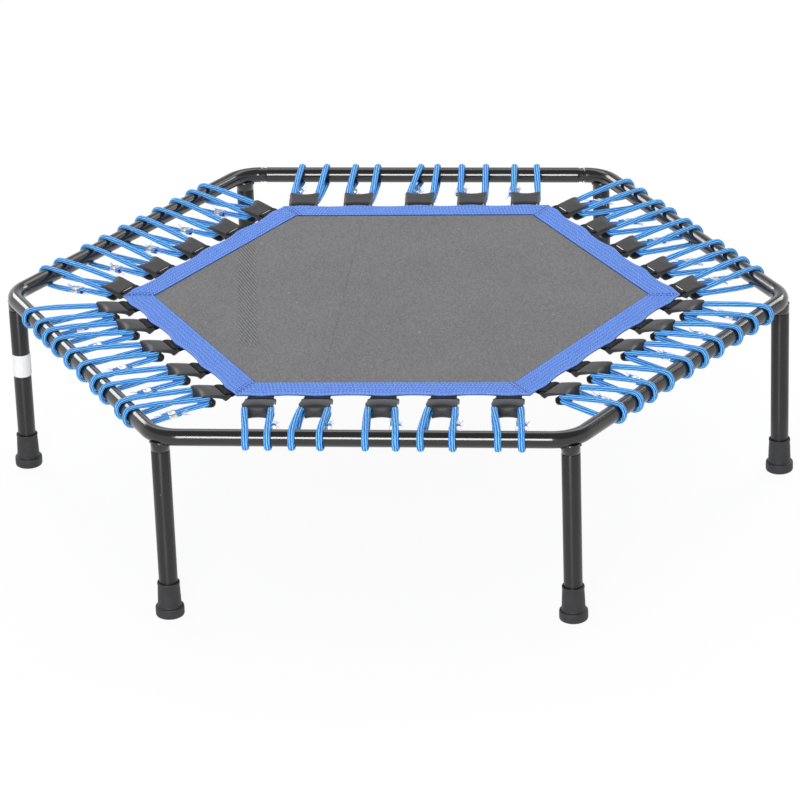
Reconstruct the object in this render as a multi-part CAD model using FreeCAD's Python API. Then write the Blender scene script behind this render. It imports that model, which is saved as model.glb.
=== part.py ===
import FreeCAD, Part

import math
import os

from FreeCAD import Vector

# Six-sided jumping trampoline. Millimetres, +Z up, origin on the floor under the centre.
# The flat sides face front and back, and two corners point left and right.

# Ring of steel tube
ACROSS_CORNERS = 1220.0
TUBE_D = 25.4
TUBE_WALL = 1.2
BEND_R = 55.0
RING_Z = 292.0
SEAM_X = 262.0
SLEEVE_LENGTH = 30.0
SLEEVE_LAP = 4.0
BORE_SIDES = 12
BEND_STEPS = 3
FIT_GAP = 0.1

# Legs, and the stubs welded under the corners that they push on to
LEG_D = 28.0
LEG_WALL = 1.2
SEAM_DROP = 23.0
STUB_TOP_DROP = 4.0
SPIGOT_LENGTH = 35.0
SPIGOT_WALL = 1.5
WELD_PROUD = 2.0
WELD_HEIGHT = 7.0
STUB_SIDES = 12
STUB_CAP_Z = 278.0

# Rubber feet
FOOT_HEIGHT = 55.0
FOOT_SOLE = 8.0
FOOT_RIM_D = 33.0
FOOT_NECK_D = 35.5
FOOT_STEP_Z = 16.0
FOOT_BASE_D = 43.0
FOOT_EDGE = 2.5
FOOT_SIDES = 14

# Jumping mat and its edge webbing
MAT_Z = RING_Z + 4.0
MAT_CORNER_R = 434.0
FABRIC_THICKNESS = 1.6
WEBBING_WIDTH = 42.0
WEBBING_THICKNESS = 1.2
SEWN_GAP = 0.1

# The mat hangs in its rings a little off the middle and a little turned, as photographed
MAT_TURN = 1.0
MAT_OFFSET = (8.5, -4.0, 0.0)

# Moulded hooks: along the pull, across it, and square to the plate
HOOKS_PER_SIDE = 5
HOOK_PITCH = 93.0
HOOK_START = 380.0
HOOK_DROP = 4.5
HOOK_TILT = 14.0
HOOK_LENGTH = 50.0
HOOK_WIDTH = 48.0
PLATE_THICKNESS = 3.5
NOTCH_DEPTH = 4.0
NOTCH_WIDTH = 18.0
HORN_HALF = 18.0
SHOULDER_START = 40.0
SHOULDER_DROP = 5.0
BAR_WIDTH = 6.0
SLOT_LENGTH = 6.0
SLOT_WIDTH = 40.0
NIB_THICKNESS = 3.0
NIB_DEPTH = 7.0
NIB_START = 2.0
NIB_TIP = 8.0
NIB_END = 20.0
HOOK_WALL_U = 42.0
HOOK_WALL_THICKNESS = 4.0
WAIST_HALF = 13.0
HEEL_HALF = 14.3
HEEL_HEIGHT = 3.5
HEEL_DROP = 1.0
JAW_START = 26.0
JAW_HALF = 16.0
JAW_THICKNESS = 2.5
LIP_HEIGHT = 4.0
LIP_THICKNESS = 3.5
LIP_SLOPE = 1.0

# Webbing straps that hold the hooks
STRAP_WIDTH = 38.0
STRAP_THICKNESS = 1.4
STRAP_START = 346.0
STRAP_BAR_GAP = 0.25

# Elastic rings, one per hook, each doubled round the tube
CORD_WIDTH = 11.0
CORD_HEIGHT = 8.0
CORD_SIDES = 5
CORD_GAP = 0.3
HOOK_GAP = 0.2
LAYER_GAP = 0.4
EIGHTH_TURN = math.radians(22.5)
STRAND_GAP = 2.0
WRAP_CORNERS = 4
CRIMP_LENGTH = 12.0
CRIMP_WALL = 1.2
CRIMP_GAP = 0.3
TAIL_OVERLAP = 13.0
SPLICE_AT = 0.46

# Each side's outward direction in degrees, and its five rings from left to right seen
# from outside: the hook's shift along the side, then where the two strands cross the
# tube, measured from the hook
SIDES = {
    "front": (-90.0, ((5, -9, 23), (-4, -26, 15), (1, -17, 27), (-3, -26, 20), (0, -10, 24))),
    "front_right": (-30.0, ((9, -21, 25), (4, -24, 23), (8, -18, 25), (2, -17, 38), (-3, -3, 41))),
    "back_right": (30.0, ((-6, -8, 36), (-8, -16, 26), (0, -3, 30), (5, -14, 25), (8, -10, 37))),
    "back": (90.0, ((8, -12, 25), (3, -15, 25), (-4, -20, 7), (4, -21, 16), (1, -25, 16))),
    "back_left": (150.0, ((0, -24, 7), (-2, -39, 7), (-1, -42, 3), (0, -40, 5), (2, -21, 14))),
    "front_left": (210.0, ((3, -34, 15), (-10, -26, 12), (-8, -29, 24), (0, -21, 16), (0, -13, 18))),
}

# Corners in degrees, numbered from the front left, clockwise seen from above
CORNERS = {1: 240.0, 2: 180.0, 3: 120.0, 4: 60.0, 5: 0.0, 6: 300.0}

# Values worked out from those above
TUBE_R = TUBE_D / 2
TUBE_BORE_R = TUBE_R - TUBE_WALL
LEG_R = LEG_D / 2
CORNER_R = ACROSS_CORNERS / 2 - TUBE_R
SHARP_R = CORNER_R + BEND_R * (1 / math.cos(math.radians(30)) - 1)
APOTHEM = SHARP_R * math.cos(math.radians(30))
MAT_APOTHEM = MAT_CORNER_R * math.cos(math.radians(30))
SEAM_Z = RING_Z - SEAM_DROP
HALF_WIDE = CORD_WIDTH / 2
HALF_HIGH = CORD_HEIGHT / 2
HALF_PLATE = PLATE_THICKNESS / 2
UPPER_CORD_W = -HALF_PLATE - HALF_HIGH - HOOK_GAP
LOWER_CORD_W = UPPER_CORD_W - CORD_HEIGHT - LAYER_GAP
JAW_TOP_W = LOWER_CORD_W - HALF_HIGH - HOOK_GAP
HEEL_W = JAW_TOP_W - JAW_THICKNESS - HEEL_DROP
UP = Vector(0, 0, 1)
ORIGIN = Vector(0, 0, 0)


def save(name, shape):
    """Writes one sub-part and says what it measures."""
    shape.exportStep(f"parts/{name}.step")
    print(f"{name}: {len(shape.Solids)} solids, {shape.Volume / 1000:.1f} cm3, valid {shape.isValid()}")


def turned(shape, degrees):
    """A copy turned about the trampoline's middle."""
    copy = shape.copy()
    copy.rotate(ORIGIN, UP, degrees)
    return copy


def hung(shape):
    """A copy of a shape of the mat's, moved to where the mat hangs."""
    copy = turned(shape, MAT_TURN)
    copy.translate(Vector(*MAT_OFFSET))
    return copy


def turned_point(point, degrees):
    angle = math.radians(degrees)
    x = point.x * math.cos(angle) - point.y * math.sin(angle)
    y = point.x * math.sin(angle) + point.y * math.cos(angle)
    return Vector(x, y, point.z)


def hung_point(point, outward):
    """Where a point of the mat's hangs, both seen on a side before it is turned outward."""
    return turned_point(point, MAT_TURN) + turned_point(Vector(*MAT_OFFSET), -outward)


def polar(radius, degrees, z=0.0):
    angle = math.radians(degrees)
    return Vector(radius * math.cos(angle), radius * math.sin(angle), z)


def cylinder(radius, low, high, centre=ORIGIN):
    """An upright cylinder between two heights."""
    return Part.makeCylinder(radius, high - low, Vector(centre.x, centre.y, low), UP)


def box(low, high):
    size = Vector(*high) - Vector(*low)
    return Part.makeBox(size.x, size.y, size.z, Vector(*low))


def prism(points, along):
    """A closed outline of points, pushed along a vector."""
    outline = Part.makePolygon([*points, points[0]])
    return Part.Face(outline).extrude(along)


def closed_skin(rings):
    """A solid of flat faces between rings of points, closed by its first and last ring."""
    faces = [Part.Face(Part.makePolygon([*ring, ring[0]])) for ring in (rings[0], rings[-1])]
    for near, far in zip(rings, rings[1:]):
        for k in range(len(near)):
            m = (k + 1) % len(near)
            faces.append(Part.Face(Part.makePolygon([near[k], near[m], far[m], far[k], near[k]])))
    shell = Part.makeShell(faces)
    shell.sewShape()
    solid = Part.Solid(shell)
    if solid.Volume < 0:
        solid.reverse()
    return solid


def flat_ring(sides, radius, centre, z):
    """Corners round an upright axis, with the flats between them at the radius."""
    turn = 360 / sides
    reach = radius / math.cos(math.radians(turn / 2))
    return [centre + polar(reach, turn * k, z) for k in range(sides)]


def flat_bar(sides, radius, low, high, centre=ORIGIN):
    return closed_skin([flat_ring(sides, radius, centre, low), flat_ring(sides, radius, centre, high)])


# Steel ring


def ring_sections():
    """Middle and heading of each section from the left seam round the front to the right."""
    sections = [(Vector(-SEAM_X, APOTHEM, RING_Z), 90)]
    for corner in (120, 180, 240, 300, 360, 420):
        middle = polar(SHARP_R - BEND_R / math.cos(math.radians(30)), corner, RING_Z)
        for k in range(BEND_STEPS + 1):
            heading = corner - 30 + 60 * k / BEND_STEPS
            sections.append((middle + polar(BEND_R, heading), heading))
    sections.append((Vector(SEAM_X, APOTHEM, RING_Z), 450))
    return sections


def round_ring():
    """The solid outside of the long tube, bent at six corners."""
    circles = []
    for middle, heading in ring_sections():
        circle = Part.Wire(Part.makeCircle(TUBE_R, ORIGIN, Vector(0, 1, 0)))
        circle.rotate(ORIGIN, UP, heading)
        circle.translate(middle)
        circles.append(circle)
    return Part.makeLoft(circles, True, True)


def flat_sided_ring(sides, radius):
    """The same route with flats: the long tube's bore, and the saddle in each stub."""
    turn = math.radians(360 / sides)
    reach = radius / math.cos(turn / 2)
    spokes = [(reach * math.cos(turn * k), reach * math.sin(turn * k)) for k in range(sides)]
    rings = []
    for middle, heading in ring_sections():
        rings.append([middle + polar(across, heading) + UP * upright for across, upright in spokes])
    return closed_skin(rings)


def ring_sleeve(sign):
    """The narrowed end of the long tube that fits inside the back tube."""
    radius = TUBE_BORE_R - FIT_GAP
    lap = flat_bar(BORE_SIDES, TUBE_BORE_R, -SLEEVE_LAP, 0)
    sleeve = flat_bar(BORE_SIDES, radius, 0, SLEEVE_LENGTH)
    end = lap.fuse(sleeve).cut(flat_bar(BORE_SIDES, radius - TUBE_WALL, -SLEEVE_LAP, SLEEVE_LENGTH))
    end.rotate(ORIGIN, Vector(0, 1, 0), -sign * 90)
    end.translate(Vector(sign * SEAM_X, APOTHEM, RING_Z))
    return end


def frame_tube():
    """The long bent tube, open at the back."""
    tube = round_ring().cut(flat_sided_ring(BORE_SIDES, TUBE_BORE_R))
    return tube.fuse([ring_sleeve(-1), ring_sleeve(1)])


def frame_back_tube():
    left = Vector(-SEAM_X, APOTHEM, RING_Z)
    back_tube = Part.makeCylinder(TUBE_R, 2 * SEAM_X, left, Vector(1, 0, 0))
    bore = flat_bar(BORE_SIDES, TUBE_BORE_R, 0, 2 * SEAM_X)
    bore.rotate(ORIGIN, Vector(0, 1, 0), 90)
    bore.translate(left)
    return back_tube.cut(bore)


# Legs


def leg_stub(centre, saddle):
    """A collar welded under a corner, and the spigot that the leg pushes on to."""
    top = RING_Z - STUB_TOP_DROP
    spigot_r = LEG_R - LEG_WALL - FIT_GAP
    low = SEAM_Z - SPIGOT_LENGTH
    rims = (
        (LEG_R, SEAM_Z),
        (LEG_R, top - WELD_HEIGHT),
        (LEG_R + WELD_PROUD, top),
    )
    collar = closed_skin([flat_ring(STUB_SIDES, radius, centre, z) for radius, z in rims])
    stub = collar.fuse(flat_bar(BORE_SIDES, spigot_r, low, SEAM_Z, centre))
    return stub.cut([flat_bar(BORE_SIDES, spigot_r - SPIGOT_WALL, low, STUB_CAP_Z, centre), saddle])


def leg_tube(centre):
    outside = cylinder(LEG_R, FOOT_SOLE, SEAM_Z, centre)
    return outside.cut(flat_bar(BORE_SIDES, LEG_R - LEG_WALL, FOOT_SOLE, SEAM_Z, centre))


def rubber_foot(centre):
    """A stepped cap with a blind socket for the leg tube."""
    base = FOOT_BASE_D / 2
    rims = (
        (base - FOOT_EDGE, 0),
        (base, FOOT_EDGE),
        (base, FOOT_STEP_Z),
        (FOOT_NECK_D / 2, FOOT_STEP_Z),
        (FOOT_RIM_D / 2, FOOT_HEIGHT),
        (LEG_R + FIT_GAP, FOOT_HEIGHT),
        (LEG_R + FIT_GAP, FOOT_SOLE),
    )
    return closed_skin([flat_ring(FOOT_SIDES, radius, centre, z) for radius, z in rims])


# Mat


def hexagon_slab(corner_r, low, high):
    corners = [polar(corner_r, 60 * k, low) for k in range(6)]
    return prism(corners, Vector(0, 0, high - low))


def mat_fabric():
    half = FABRIC_THICKNESS / 2
    inset = WEBBING_THICKNESS + SEWN_GAP
    return hexagon_slab(MAT_CORNER_R - inset / math.cos(math.radians(30)), MAT_Z - half, MAT_Z + half)


def edge_webbing():
    """Webbing folded over the fabric's edge, mitred at the six corners."""
    slot = FABRIC_THICKNESS / 2 + SEWN_GAP
    half = slot + WEBBING_THICKNESS
    stretch = 1 / math.cos(math.radians(30))
    band = hexagon_slab(MAT_CORNER_R, MAT_Z - half, MAT_Z + half)
    opening = hexagon_slab(MAT_CORNER_R - WEBBING_WIDTH * stretch, MAT_Z - half, MAT_Z + half)
    fold = hexagon_slab(MAT_CORNER_R - WEBBING_THICKNESS * stretch, MAT_Z - slot, MAT_Z + slot)
    return band.cut(opening).cut(fold)


# Hooks, made along +X with the mat's end of the plate at the origin


def hook_plate():
    """The plate with its slot, its two horns and the hollow between them."""
    half = HOOK_WIDTH / 2
    side = (
        (0, half),
        (HOOK_LENGTH, half),
        (HOOK_LENGTH, HORN_HALF),
        (HOOK_LENGTH - NOTCH_DEPTH, NOTCH_WIDTH / 2),
    )
    right = [Vector(u, v, -HALF_PLATE) for u, v in side]
    left = [Vector(u, -v, -HALF_PLATE) for u, v in reversed(side)]
    plate = prism([*right, *left], Vector(0, 0, PLATE_THICKNESS))
    slot_low = (BAR_WIDTH, -SLOT_WIDTH / 2, -PLATE_THICKNESS)
    slot_high = (BAR_WIDTH + SLOT_LENGTH, SLOT_WIDTH / 2, PLATE_THICKNESS)
    return plate.cut(box(slot_low, slot_high))


def hook_nib(side):
    """The pointed side wall that turns down beside the strap."""
    outer = side * HOOK_WIDTH / 2
    outline = [
        Vector(NIB_START, outer, -HALF_PLATE),
        Vector(NIB_TIP, outer, -HALF_PLATE - NIB_DEPTH),
        Vector(NIB_END, outer, -HALF_PLATE),
    ]
    return prism(outline, Vector(0, -side * NIB_THICKNESS, 0))


def hook_wall():
    """The hourglass wall at the outer end, which the two strands pass on each side."""
    half = (
        (WAIST_HALF, -HALF_PLATE),
        (WAIST_HALF, HEEL_W + HEEL_HEIGHT),
        (HEEL_HALF, HEEL_W),
    )
    right = [Vector(HOOK_WALL_U, v, w) for v, w in half]
    left = [Vector(HOOK_WALL_U, -v, w) for v, w in reversed(half)]
    return prism([*right, *left], Vector(HOOK_WALL_THICKNESS, 0, 0))


def hook_jaw():
    """The lower jaw and the lip that keeps the ring in the throat."""
    low = JAW_TOP_W - JAW_THICKNESS
    outline = (
        (JAW_START, low),
        (HOOK_WALL_U, low),
        (HOOK_WALL_U, JAW_TOP_W),
        (JAW_START + LIP_THICKNESS, JAW_TOP_W),
        (JAW_START + LIP_SLOPE, JAW_TOP_W + LIP_HEIGHT),
    )
    return prism([Vector(u, -JAW_HALF, w) for u, w in outline], Vector(0, 2 * JAW_HALF, 0))


def hook_shoulder():
    """What is cut off where the plate slopes over into the wall."""
    end = HOOK_WALL_U + HOOK_WALL_THICKNESS
    outline = ((SHOULDER_START, HALF_PLATE), (end, HALF_PLATE), (end, HALF_PLATE - SHOULDER_DROP))
    return prism([Vector(u, -WAIST_HALF, w) for u, w in outline], Vector(0, 2 * WAIST_HALF, 0))


def hook_solid():
    pieces = [hook_nib(-1), hook_nib(1), hook_wall(), hook_jaw()]
    return hook_plate().fuse(pieces).cut(hook_shoulder()).removeSplitter()


def seat(shape, along):
    """Puts a shape in a hook's place on the side that faces +X."""
    copy = shape.copy()
    copy.rotate(ORIGIN, Vector(0, 1, 0), -HOOK_TILT)
    copy.translate(Vector(HOOK_START, along, MAT_Z - HOOK_DROP))
    return copy


def seat_point(u, v, w, along):
    """The same placing for one point of a hook's own frame."""
    tilt = math.radians(HOOK_TILT)
    x = HOOK_START + u * math.cos(tilt) - w * math.sin(tilt)
    z = MAT_Z - HOOK_DROP + u * math.sin(tilt) + w * math.cos(tilt)
    return Vector(x, along + v, z)


def side_wedge():
    """The sector of the trampoline that belongs to the side facing +X."""
    reach = APOTHEM * math.tan(math.radians(30))
    middle = Vector(SEWN_GAP * 2, 0, 0)
    corners = [middle, Vector(APOTHEM, -reach, 0), Vector(APOTHEM, reach, 0)]
    return prism(corners, Vector(0, 0, RING_Z + TUBE_D))


def strap(along):
    """Webbing sewn under the mat's edge and looped through the hook's slot."""
    half = FABRIC_THICKNESS / 2 + SEWN_GAP + WEBBING_THICKNESS
    top = MAT_Z - half - SEWN_GAP
    low = -STRAP_WIDTH / 2
    inside = HALF_PLATE + STRAP_BAR_GAP
    outside = inside + STRAP_THICKNESS
    near = -STRAP_BAR_GAP
    far = BAR_WIDTH + STRAP_BAR_GAP
    loop = [
        seat_point(near - STRAP_THICKNESS, low, outside, along),
        seat_point(far, low, outside, along),
        seat_point(far + STRAP_THICKNESS, low, outside - STRAP_THICKNESS, along),
        seat_point(far + STRAP_THICKNESS, low, STRAP_THICKNESS - outside, along),
        seat_point(far, low, -outside, along),
        seat_point(near, low, -outside, along),
    ]
    sewn = [
        Vector(STRAP_START, along + low, top - 2 * STRAP_THICKNESS),
        Vector(STRAP_START, along + low, top),
        Vector(MAT_APOTHEM + SEWN_GAP, along + low, top),
    ]
    bar = ((near, -inside), (far, -inside), (far, inside), (near, inside))
    eye = [seat_point(u, low, w, along) for u, w in bar]
    across = Vector(0, STRAP_WIDTH, 0)
    return prism([*sewn, *loop], across).cut(prism(eye, across)).common(side_wedge())


# Elastic rings


def flat_cord(points):
    """A cord of flat faces along straight runs, wider across than it is high."""
    runs = [(b - a).normalize() for a, b in zip(points, points[1:])]
    across = runs[0].cross(UP).normalize()
    upright = across.cross(runs[0])
    turn = 2 * math.pi / CORD_SIDES
    spokes = [(HALF_WIDE * math.cos(turn * k), HALF_HIGH * math.sin(turn * k)) for k in range(CORD_SIDES)]
    ring = [points[0] + across * x + upright * y for x, y in spokes]
    rings = [ring]
    for k, run in enumerate(runs):
        square = run if k + 1 == len(runs) else (run + runs[k + 1]).normalize()
        end = points[k + 1]
        ring = [p + run * ((end - p).dot(square) / run.dot(square)) for p in ring]
        rings.append(ring)
    length = sum((b - a).Length for a, b in zip(points, points[1:]))
    return closed_skin(rings), length


def bight(w, along):
    """The four points where a ring passes behind a hook's wall, right to left."""
    inside = HOOK_WALL_U - HALF_WIDE - CORD_GAP
    beside = WAIST_HALF + HALF_WIDE + STRAND_GAP
    step = (HALF_WIDE + CORD_GAP) * (1 - math.tan(EIGHTH_TURN))
    corner_u = inside + step
    corner_v = beside - step
    outline = ((corner_u, beside), (inside, corner_v), (inside, -corner_v), (corner_u, -beside))
    return [seat_point(u, v, w, along) for u, v in outline]


def wrap(under, over, along):
    """Corner points round the tube, from a strand below it to a strand above it."""
    reach = TUBE_R + HALF_HIGH + CORD_GAP

    def tangent(point, side):
        dx = point.x - APOTHEM
        dz = point.z - RING_Z
        base = math.atan2(dz, dx)
        return base + side * math.acos(reach / math.hypot(dx, dz))

    low = tangent(under, 1)
    high = tangent(over, -1)
    turn = (high - low) % (2 * math.pi)
    corner = reach / math.cos(turn / WRAP_CORNERS / 2)
    angles = [low + turn * (k + 0.5) / WRAP_CORNERS for k in range(WRAP_CORNERS)]
    return [Vector(APOTHEM + corner * math.cos(a), along, RING_Z + corner * math.sin(a)) for a in angles]


def ring_route(along_mat, left_at, right_at, outward):
    """The whole route of one ring, from one tail to the other, and its splice."""
    upper = [hung_point(point, outward) for point in bight(UPPER_CORD_W, along_mat)]
    lower = [hung_point(point, outward) for point in bight(LOWER_CORD_W, along_mat)]
    hook_at = hung_point(seat_point(HOOK_WALL_U, 0, 0, along_mat), outward).y
    left = wrap(lower[3], upper[3], hook_at + left_at)
    right = wrap(lower[0], upper[0], hook_at + right_at)
    span = right[0] - lower[0]
    middle = lower[0] + span * SPLICE_AT
    along = Vector(span).normalize()
    beside = along.cross(UP).normalize() * (HALF_WIDE + CORD_GAP / 2)
    hook_tail = [middle + along * TAIL_OVERLAP + beside, middle - along * TAIL_OVERLAP + beside]
    tube_tail = [middle + along * TAIL_OVERLAP - beside, middle - along * TAIL_OVERLAP - beside]
    route = [*hook_tail, *lower, *left, *reversed(upper), *reversed(right), *tube_tail]
    return route, middle, along


def crimp(middle, along):
    """The flat metal sleeve pressed over a ring's two tails."""
    across = along.cross(UP).normalize()
    upright = across.cross(along)
    start = middle - along * (CRIMP_LENGTH / 2)

    def outline(wide, high):
        corners = ((wide, high), (-wide, high), (-wide, -high), (wide, -high))
        return [start + across * x + upright * y for x, y in corners]

    wide = CORD_WIDTH + CORD_GAP / 2 + CRIMP_GAP
    high = HALF_HIGH + CRIMP_GAP
    outer = prism(outline(wide + CRIMP_WALL, high + CRIMP_WALL), along * CRIMP_LENGTH)
    return outer.cut(prism(outline(wide, high), along * CRIMP_LENGTH))


def side_groups(name, outward, rings):
    """One side's hooks, straps, elastic rings and crimps, each as one group."""
    hook = hook_solid()
    groups = {"hooks": [], "hook_straps": [], "elastic_rings": [], "ring_crimps": []}
    for k, (shift, left_at, right_at) in enumerate(rings):
        along = (k - (HOOKS_PER_SIDE - 1) / 2) * HOOK_PITCH + shift
        route, middle, direction = ring_route(along, left_at, right_at, outward)
        cord, length = flat_cord(route)
        section = CORD_SIDES / 2 * HALF_WIDE * HALF_HIGH * math.sin(2 * math.pi / CORD_SIDES)
        print(f"{name} ring {k + 1}: {length:.0f} mm, fill {cord.Volume / section / length:.3f}")
        groups["hooks"].append(seat(hook, along))
        groups["hook_straps"].append(strap(along))
        groups["elastic_rings"].append(cord)
        groups["ring_crimps"].append(crimp(middle, direction))
    shapes = {group: turned(Part.makeCompound(solids), outward) for group, solids in groups.items()}
    for group in ("hooks", "hook_straps"):
        shapes[group] = hung(shapes[group])
    return shapes


def main():
    os.makedirs("parts", exist_ok=True)
    centres = {number: polar(CORNER_R, corner) for number, corner in CORNERS.items()}
    save("frame_tube", frame_tube())
    save("frame_back_tube", frame_back_tube())
    saddle = flat_sided_ring(STUB_SIDES, TUBE_R)
    save("leg_stubs", Part.makeCompound([leg_stub(centre, saddle) for centre in centres.values()]))
    for number, centre in centres.items():
        save(f"leg_{number}_tube", leg_tube(centre))
        save(f"leg_{number}_foot", rubber_foot(centre))
    save("mat_fabric", hung(mat_fabric()))
    save("edge_webbing", hung(edge_webbing()))
    for name, (outward, rings) in SIDES.items():
        for group, shape in side_groups(name, outward, rings).items():
            save(f"{group}_{name}", shape)


main()
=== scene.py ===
import math
import random

import bmesh
import bpy
from mathutils import Matrix, Vector


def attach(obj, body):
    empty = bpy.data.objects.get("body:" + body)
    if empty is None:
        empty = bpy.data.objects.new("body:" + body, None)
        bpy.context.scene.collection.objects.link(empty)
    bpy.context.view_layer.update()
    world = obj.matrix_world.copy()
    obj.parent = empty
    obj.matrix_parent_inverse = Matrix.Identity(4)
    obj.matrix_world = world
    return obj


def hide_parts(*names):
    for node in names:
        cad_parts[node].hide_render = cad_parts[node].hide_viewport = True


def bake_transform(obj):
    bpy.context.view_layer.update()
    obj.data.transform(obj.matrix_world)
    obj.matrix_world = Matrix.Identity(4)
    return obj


# Hexagonal jumping trampoline. Metres, +Z up, origin on the floor under its centre.

# Steel ring and legs; a bend is calm a little past its ends, and rippled inside
TUBE_R = 0.0127
TUBE_SIDES = 40
BEND_R = 0.055
BEND_CALM = 0.004
BEND_STEPS = 12
BEND_RIPPLE = 0.00035
RIPPLE_RATE = 2.6
RING_Z = 0.292
CORNER_R = 0.5973
SEAM_X = 0.262
LEG_R = 0.014
LEG_BORE_R = LEG_R - 0.0012
SEAM_Z = 0.269
COLLAR_TOP_Z = 0.2842
SPIGOT_R = 0.0127
SPIGOT_BORE_R = SPIGOT_R - 0.0015
SPIGOT_LOW_Z = 0.234
BORE_TOP_Z = COLLAR_TOP_Z - 0.006
FOOT_SOLE = 0.008
CORNERS = {1: 240.0, 2: 180.0, 3: 120.0, 4: 60.0, 5: 0.0, 6: 300.0}

# Jumping mat and its blue edge. The straps draw the edge out into scallops; sewing presses
# rows into the webbing, and its ends lap over each other at a crease along each mitre
MAT_Z = 0.296
MAT_CORNER_R = 0.434
MAT_TURN = 1.0
MAT_OFFSET = (0.0085, -0.004, 0.0)
FABRIC_THICKNESS = 0.0016
WEBBING_WIDTH = 0.042
WEBBING_THICKNESS = 0.0012
SCALLOP = 0.0026
SCALLOP_HALF = 0.022
FOLD_GAP = 0.0001
MAT_RINGS = 26
MAT_UNEVEN = 0.00012
BAND_CROWN = 0.0004
SEWN_HALF = 0.0011
SEWN_DEPTH = 0.00035
CREASE_HALF = 0.0012
CREASE_DEPTH = 0.0008
MITRE_LAP = 0.0006
MITRE_REACH = 0.012
CORNER_CALM = 0.03
EDGE_ROUNDING = 0.0006
FOLD_BULGE = (0.0006, 0.0018)
TUCK = 0.003

# Hooks in their own frame: along the pull, across it, and square to the plate
HOOKS_PER_SIDE = 5
HOOK_PITCH = 0.093
HOOK_START = 0.380
HOOK_DROP = 0.0045
HOOK_TILT = math.radians(14)
HOOK_WALL_U = 0.042
WAIST_HALF = 0.013
HALF_PLATE = 0.00175
STRAP_HALF = 0.019
STRAP_THICKNESS = 0.0014

# Elastic rings
HALF_WIDE = 0.0055
HALF_HIGH = 0.004
SHOWN_HALF_WIDE = 0.0051
PRESSED_HALF_HIGH = 0.0031
CORD_GAP = 0.0003
HOOK_GAP = 0.0002
LAYER_GAP = 0.0004
STRAND_GAP = 0.0020
WRAP_CORNERS = 4
EIGHTH_TURN = math.radians(22.5)
CRIMP_LENGTH = 0.012
CRIMPED_HALF_WIDE = 0.0042
CRIMPED_HALF_HIGH = 0.0036
TAIL_OVERLAP = 0.013
SPLICE_AT = 0.46
CORD_STEPS = 9
CORD_SIDES = 16
# How far from the tube's middle, and from the crimp's, a cord fills out again
PRESSED_REACH = (0.019, 0.038)
CRIMPED_REACH = (0.012, 0.026)
# Where the cord's two layers lie under the hook's plate
UPPER_CORD_W = -HALF_PLATE - HALF_HIGH - HOOK_GAP
LOWER_CORD_W = UPPER_CORD_W - 2 * HALF_HIGH - LAYER_GAP

# Each side's outward direction, and its rings from left to right seen from outside: the
# hook's shift, then where the two strands cross the tube, in millimetres from the hook
SIDES = {
    "front": (-90.0, ((5, -6, 26), (-4, -23, 18), (1, -14, 30), (-3, -23, 23), (0, -7, 27))),
    "front_right": (
        -30.0,
        ((9, -21, 25), (4, -24, 23), (8, -18, 25), (2, -17, 38), (-3, -3, 41)),
    ),
    "back_right": (30.0, ((-6, -8, 36), (-8, -16, 26), (0, -3, 30), (5, -14, 25), (8, -10, 37))),
    "back": (90.0, ((8, -12, 25), (3, -15, 25), (-4, -20, 7), (4, -21, 16), (1, -25, 16))),
    "back_left": (150.0, ((0, -24, 7), (-2, -39, 7), (-1, -42, 3), (0, -40, 5), (2, -21, 14))),
    "front_left": (
        210.0,
        ((3, -34, 15), (-10, -26, 12), (-8, -29, 24), (0, -21, 16), (0, -13, 18)),
    ),
}

# Camera: focal length in the photograph's pixels, its place and its three turns
FOCAL_PIXELS = 4175.6
FRAME_PIXELS = 800
SENSOR_WIDTH = 36.0
CAMERA_PLACE = (0.6025, -5.9662, 2.8148)
CAMERA_YAW = math.radians(5.749)
CAMERA_PITCH = math.radians(24.231)
CAMERA_ROLL = math.radians(-2.024)

COS_30 = math.cos(math.radians(30))
TAN_30 = math.tan(math.radians(30))
SHARP_R = CORNER_R + BEND_R * (1 / COS_30 - 1)
APOTHEM = SHARP_R * COS_30
MAT_APOTHEM = MAT_CORNER_R * COS_30
UP = Vector((0, 0, 1))
MM = 0.001
MERGED = 1e-6  # points this near each other become one


# Small tools


def polar(radius, degrees, z=0.0):
    angle = math.radians(degrees)
    return Vector((radius * math.cos(angle), radius * math.sin(angle), z))


def turned(point, degrees):
    """A point of the side that faces +X, carried round to another side."""
    return Matrix.Rotation(math.radians(degrees), 3, "Z") @ Vector(point)


def hung_point(point, outward):
    """Where a point of the mat's hangs, both seen on a side before it is turned outward."""
    return turned(point, MAT_TURN) + turned(MAT_OFFSET, -outward)


def hang(piece):
    """Moves a piece of the mat's from the middle to where the mat hangs in its rings."""
    turn = Matrix.Rotation(math.radians(MAT_TURN), 4, "Z")
    piece.data.transform(Matrix.Translation(MAT_OFFSET) @ turn)
    return piece


def smooth_step(value, low, high):
    share = min(1.0, max(0.0, (value - low) / (high - low)))
    return share * share * (3 - 2 * share)


def shares(count):
    """Even steps from 0 to 1."""
    return [k / count for k in range(count + 1)]


def between(a, b, share):
    return a + (b - a) * share


def distances(points):
    """How far along a line each of its points lies."""
    alongs = [0.0]
    for a, b in zip(points, points[1:]):
        alongs.append(alongs[-1] + (b - a).length)
    return alongs


def new_object(name, data):
    made = bpy.data.objects.new(name, data)
    bpy.context.scene.collection.objects.link(made)
    return made


def mesh_from(skin, name):
    """Makes a bmesh a named mesh with smooth faces."""
    mesh = bpy.data.meshes.new(name)
    skin.to_mesh(mesh)
    skin.free()
    mesh.polygons.foreach_set("use_smooth", [True] * len(mesh.polygons))
    return mesh


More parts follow.
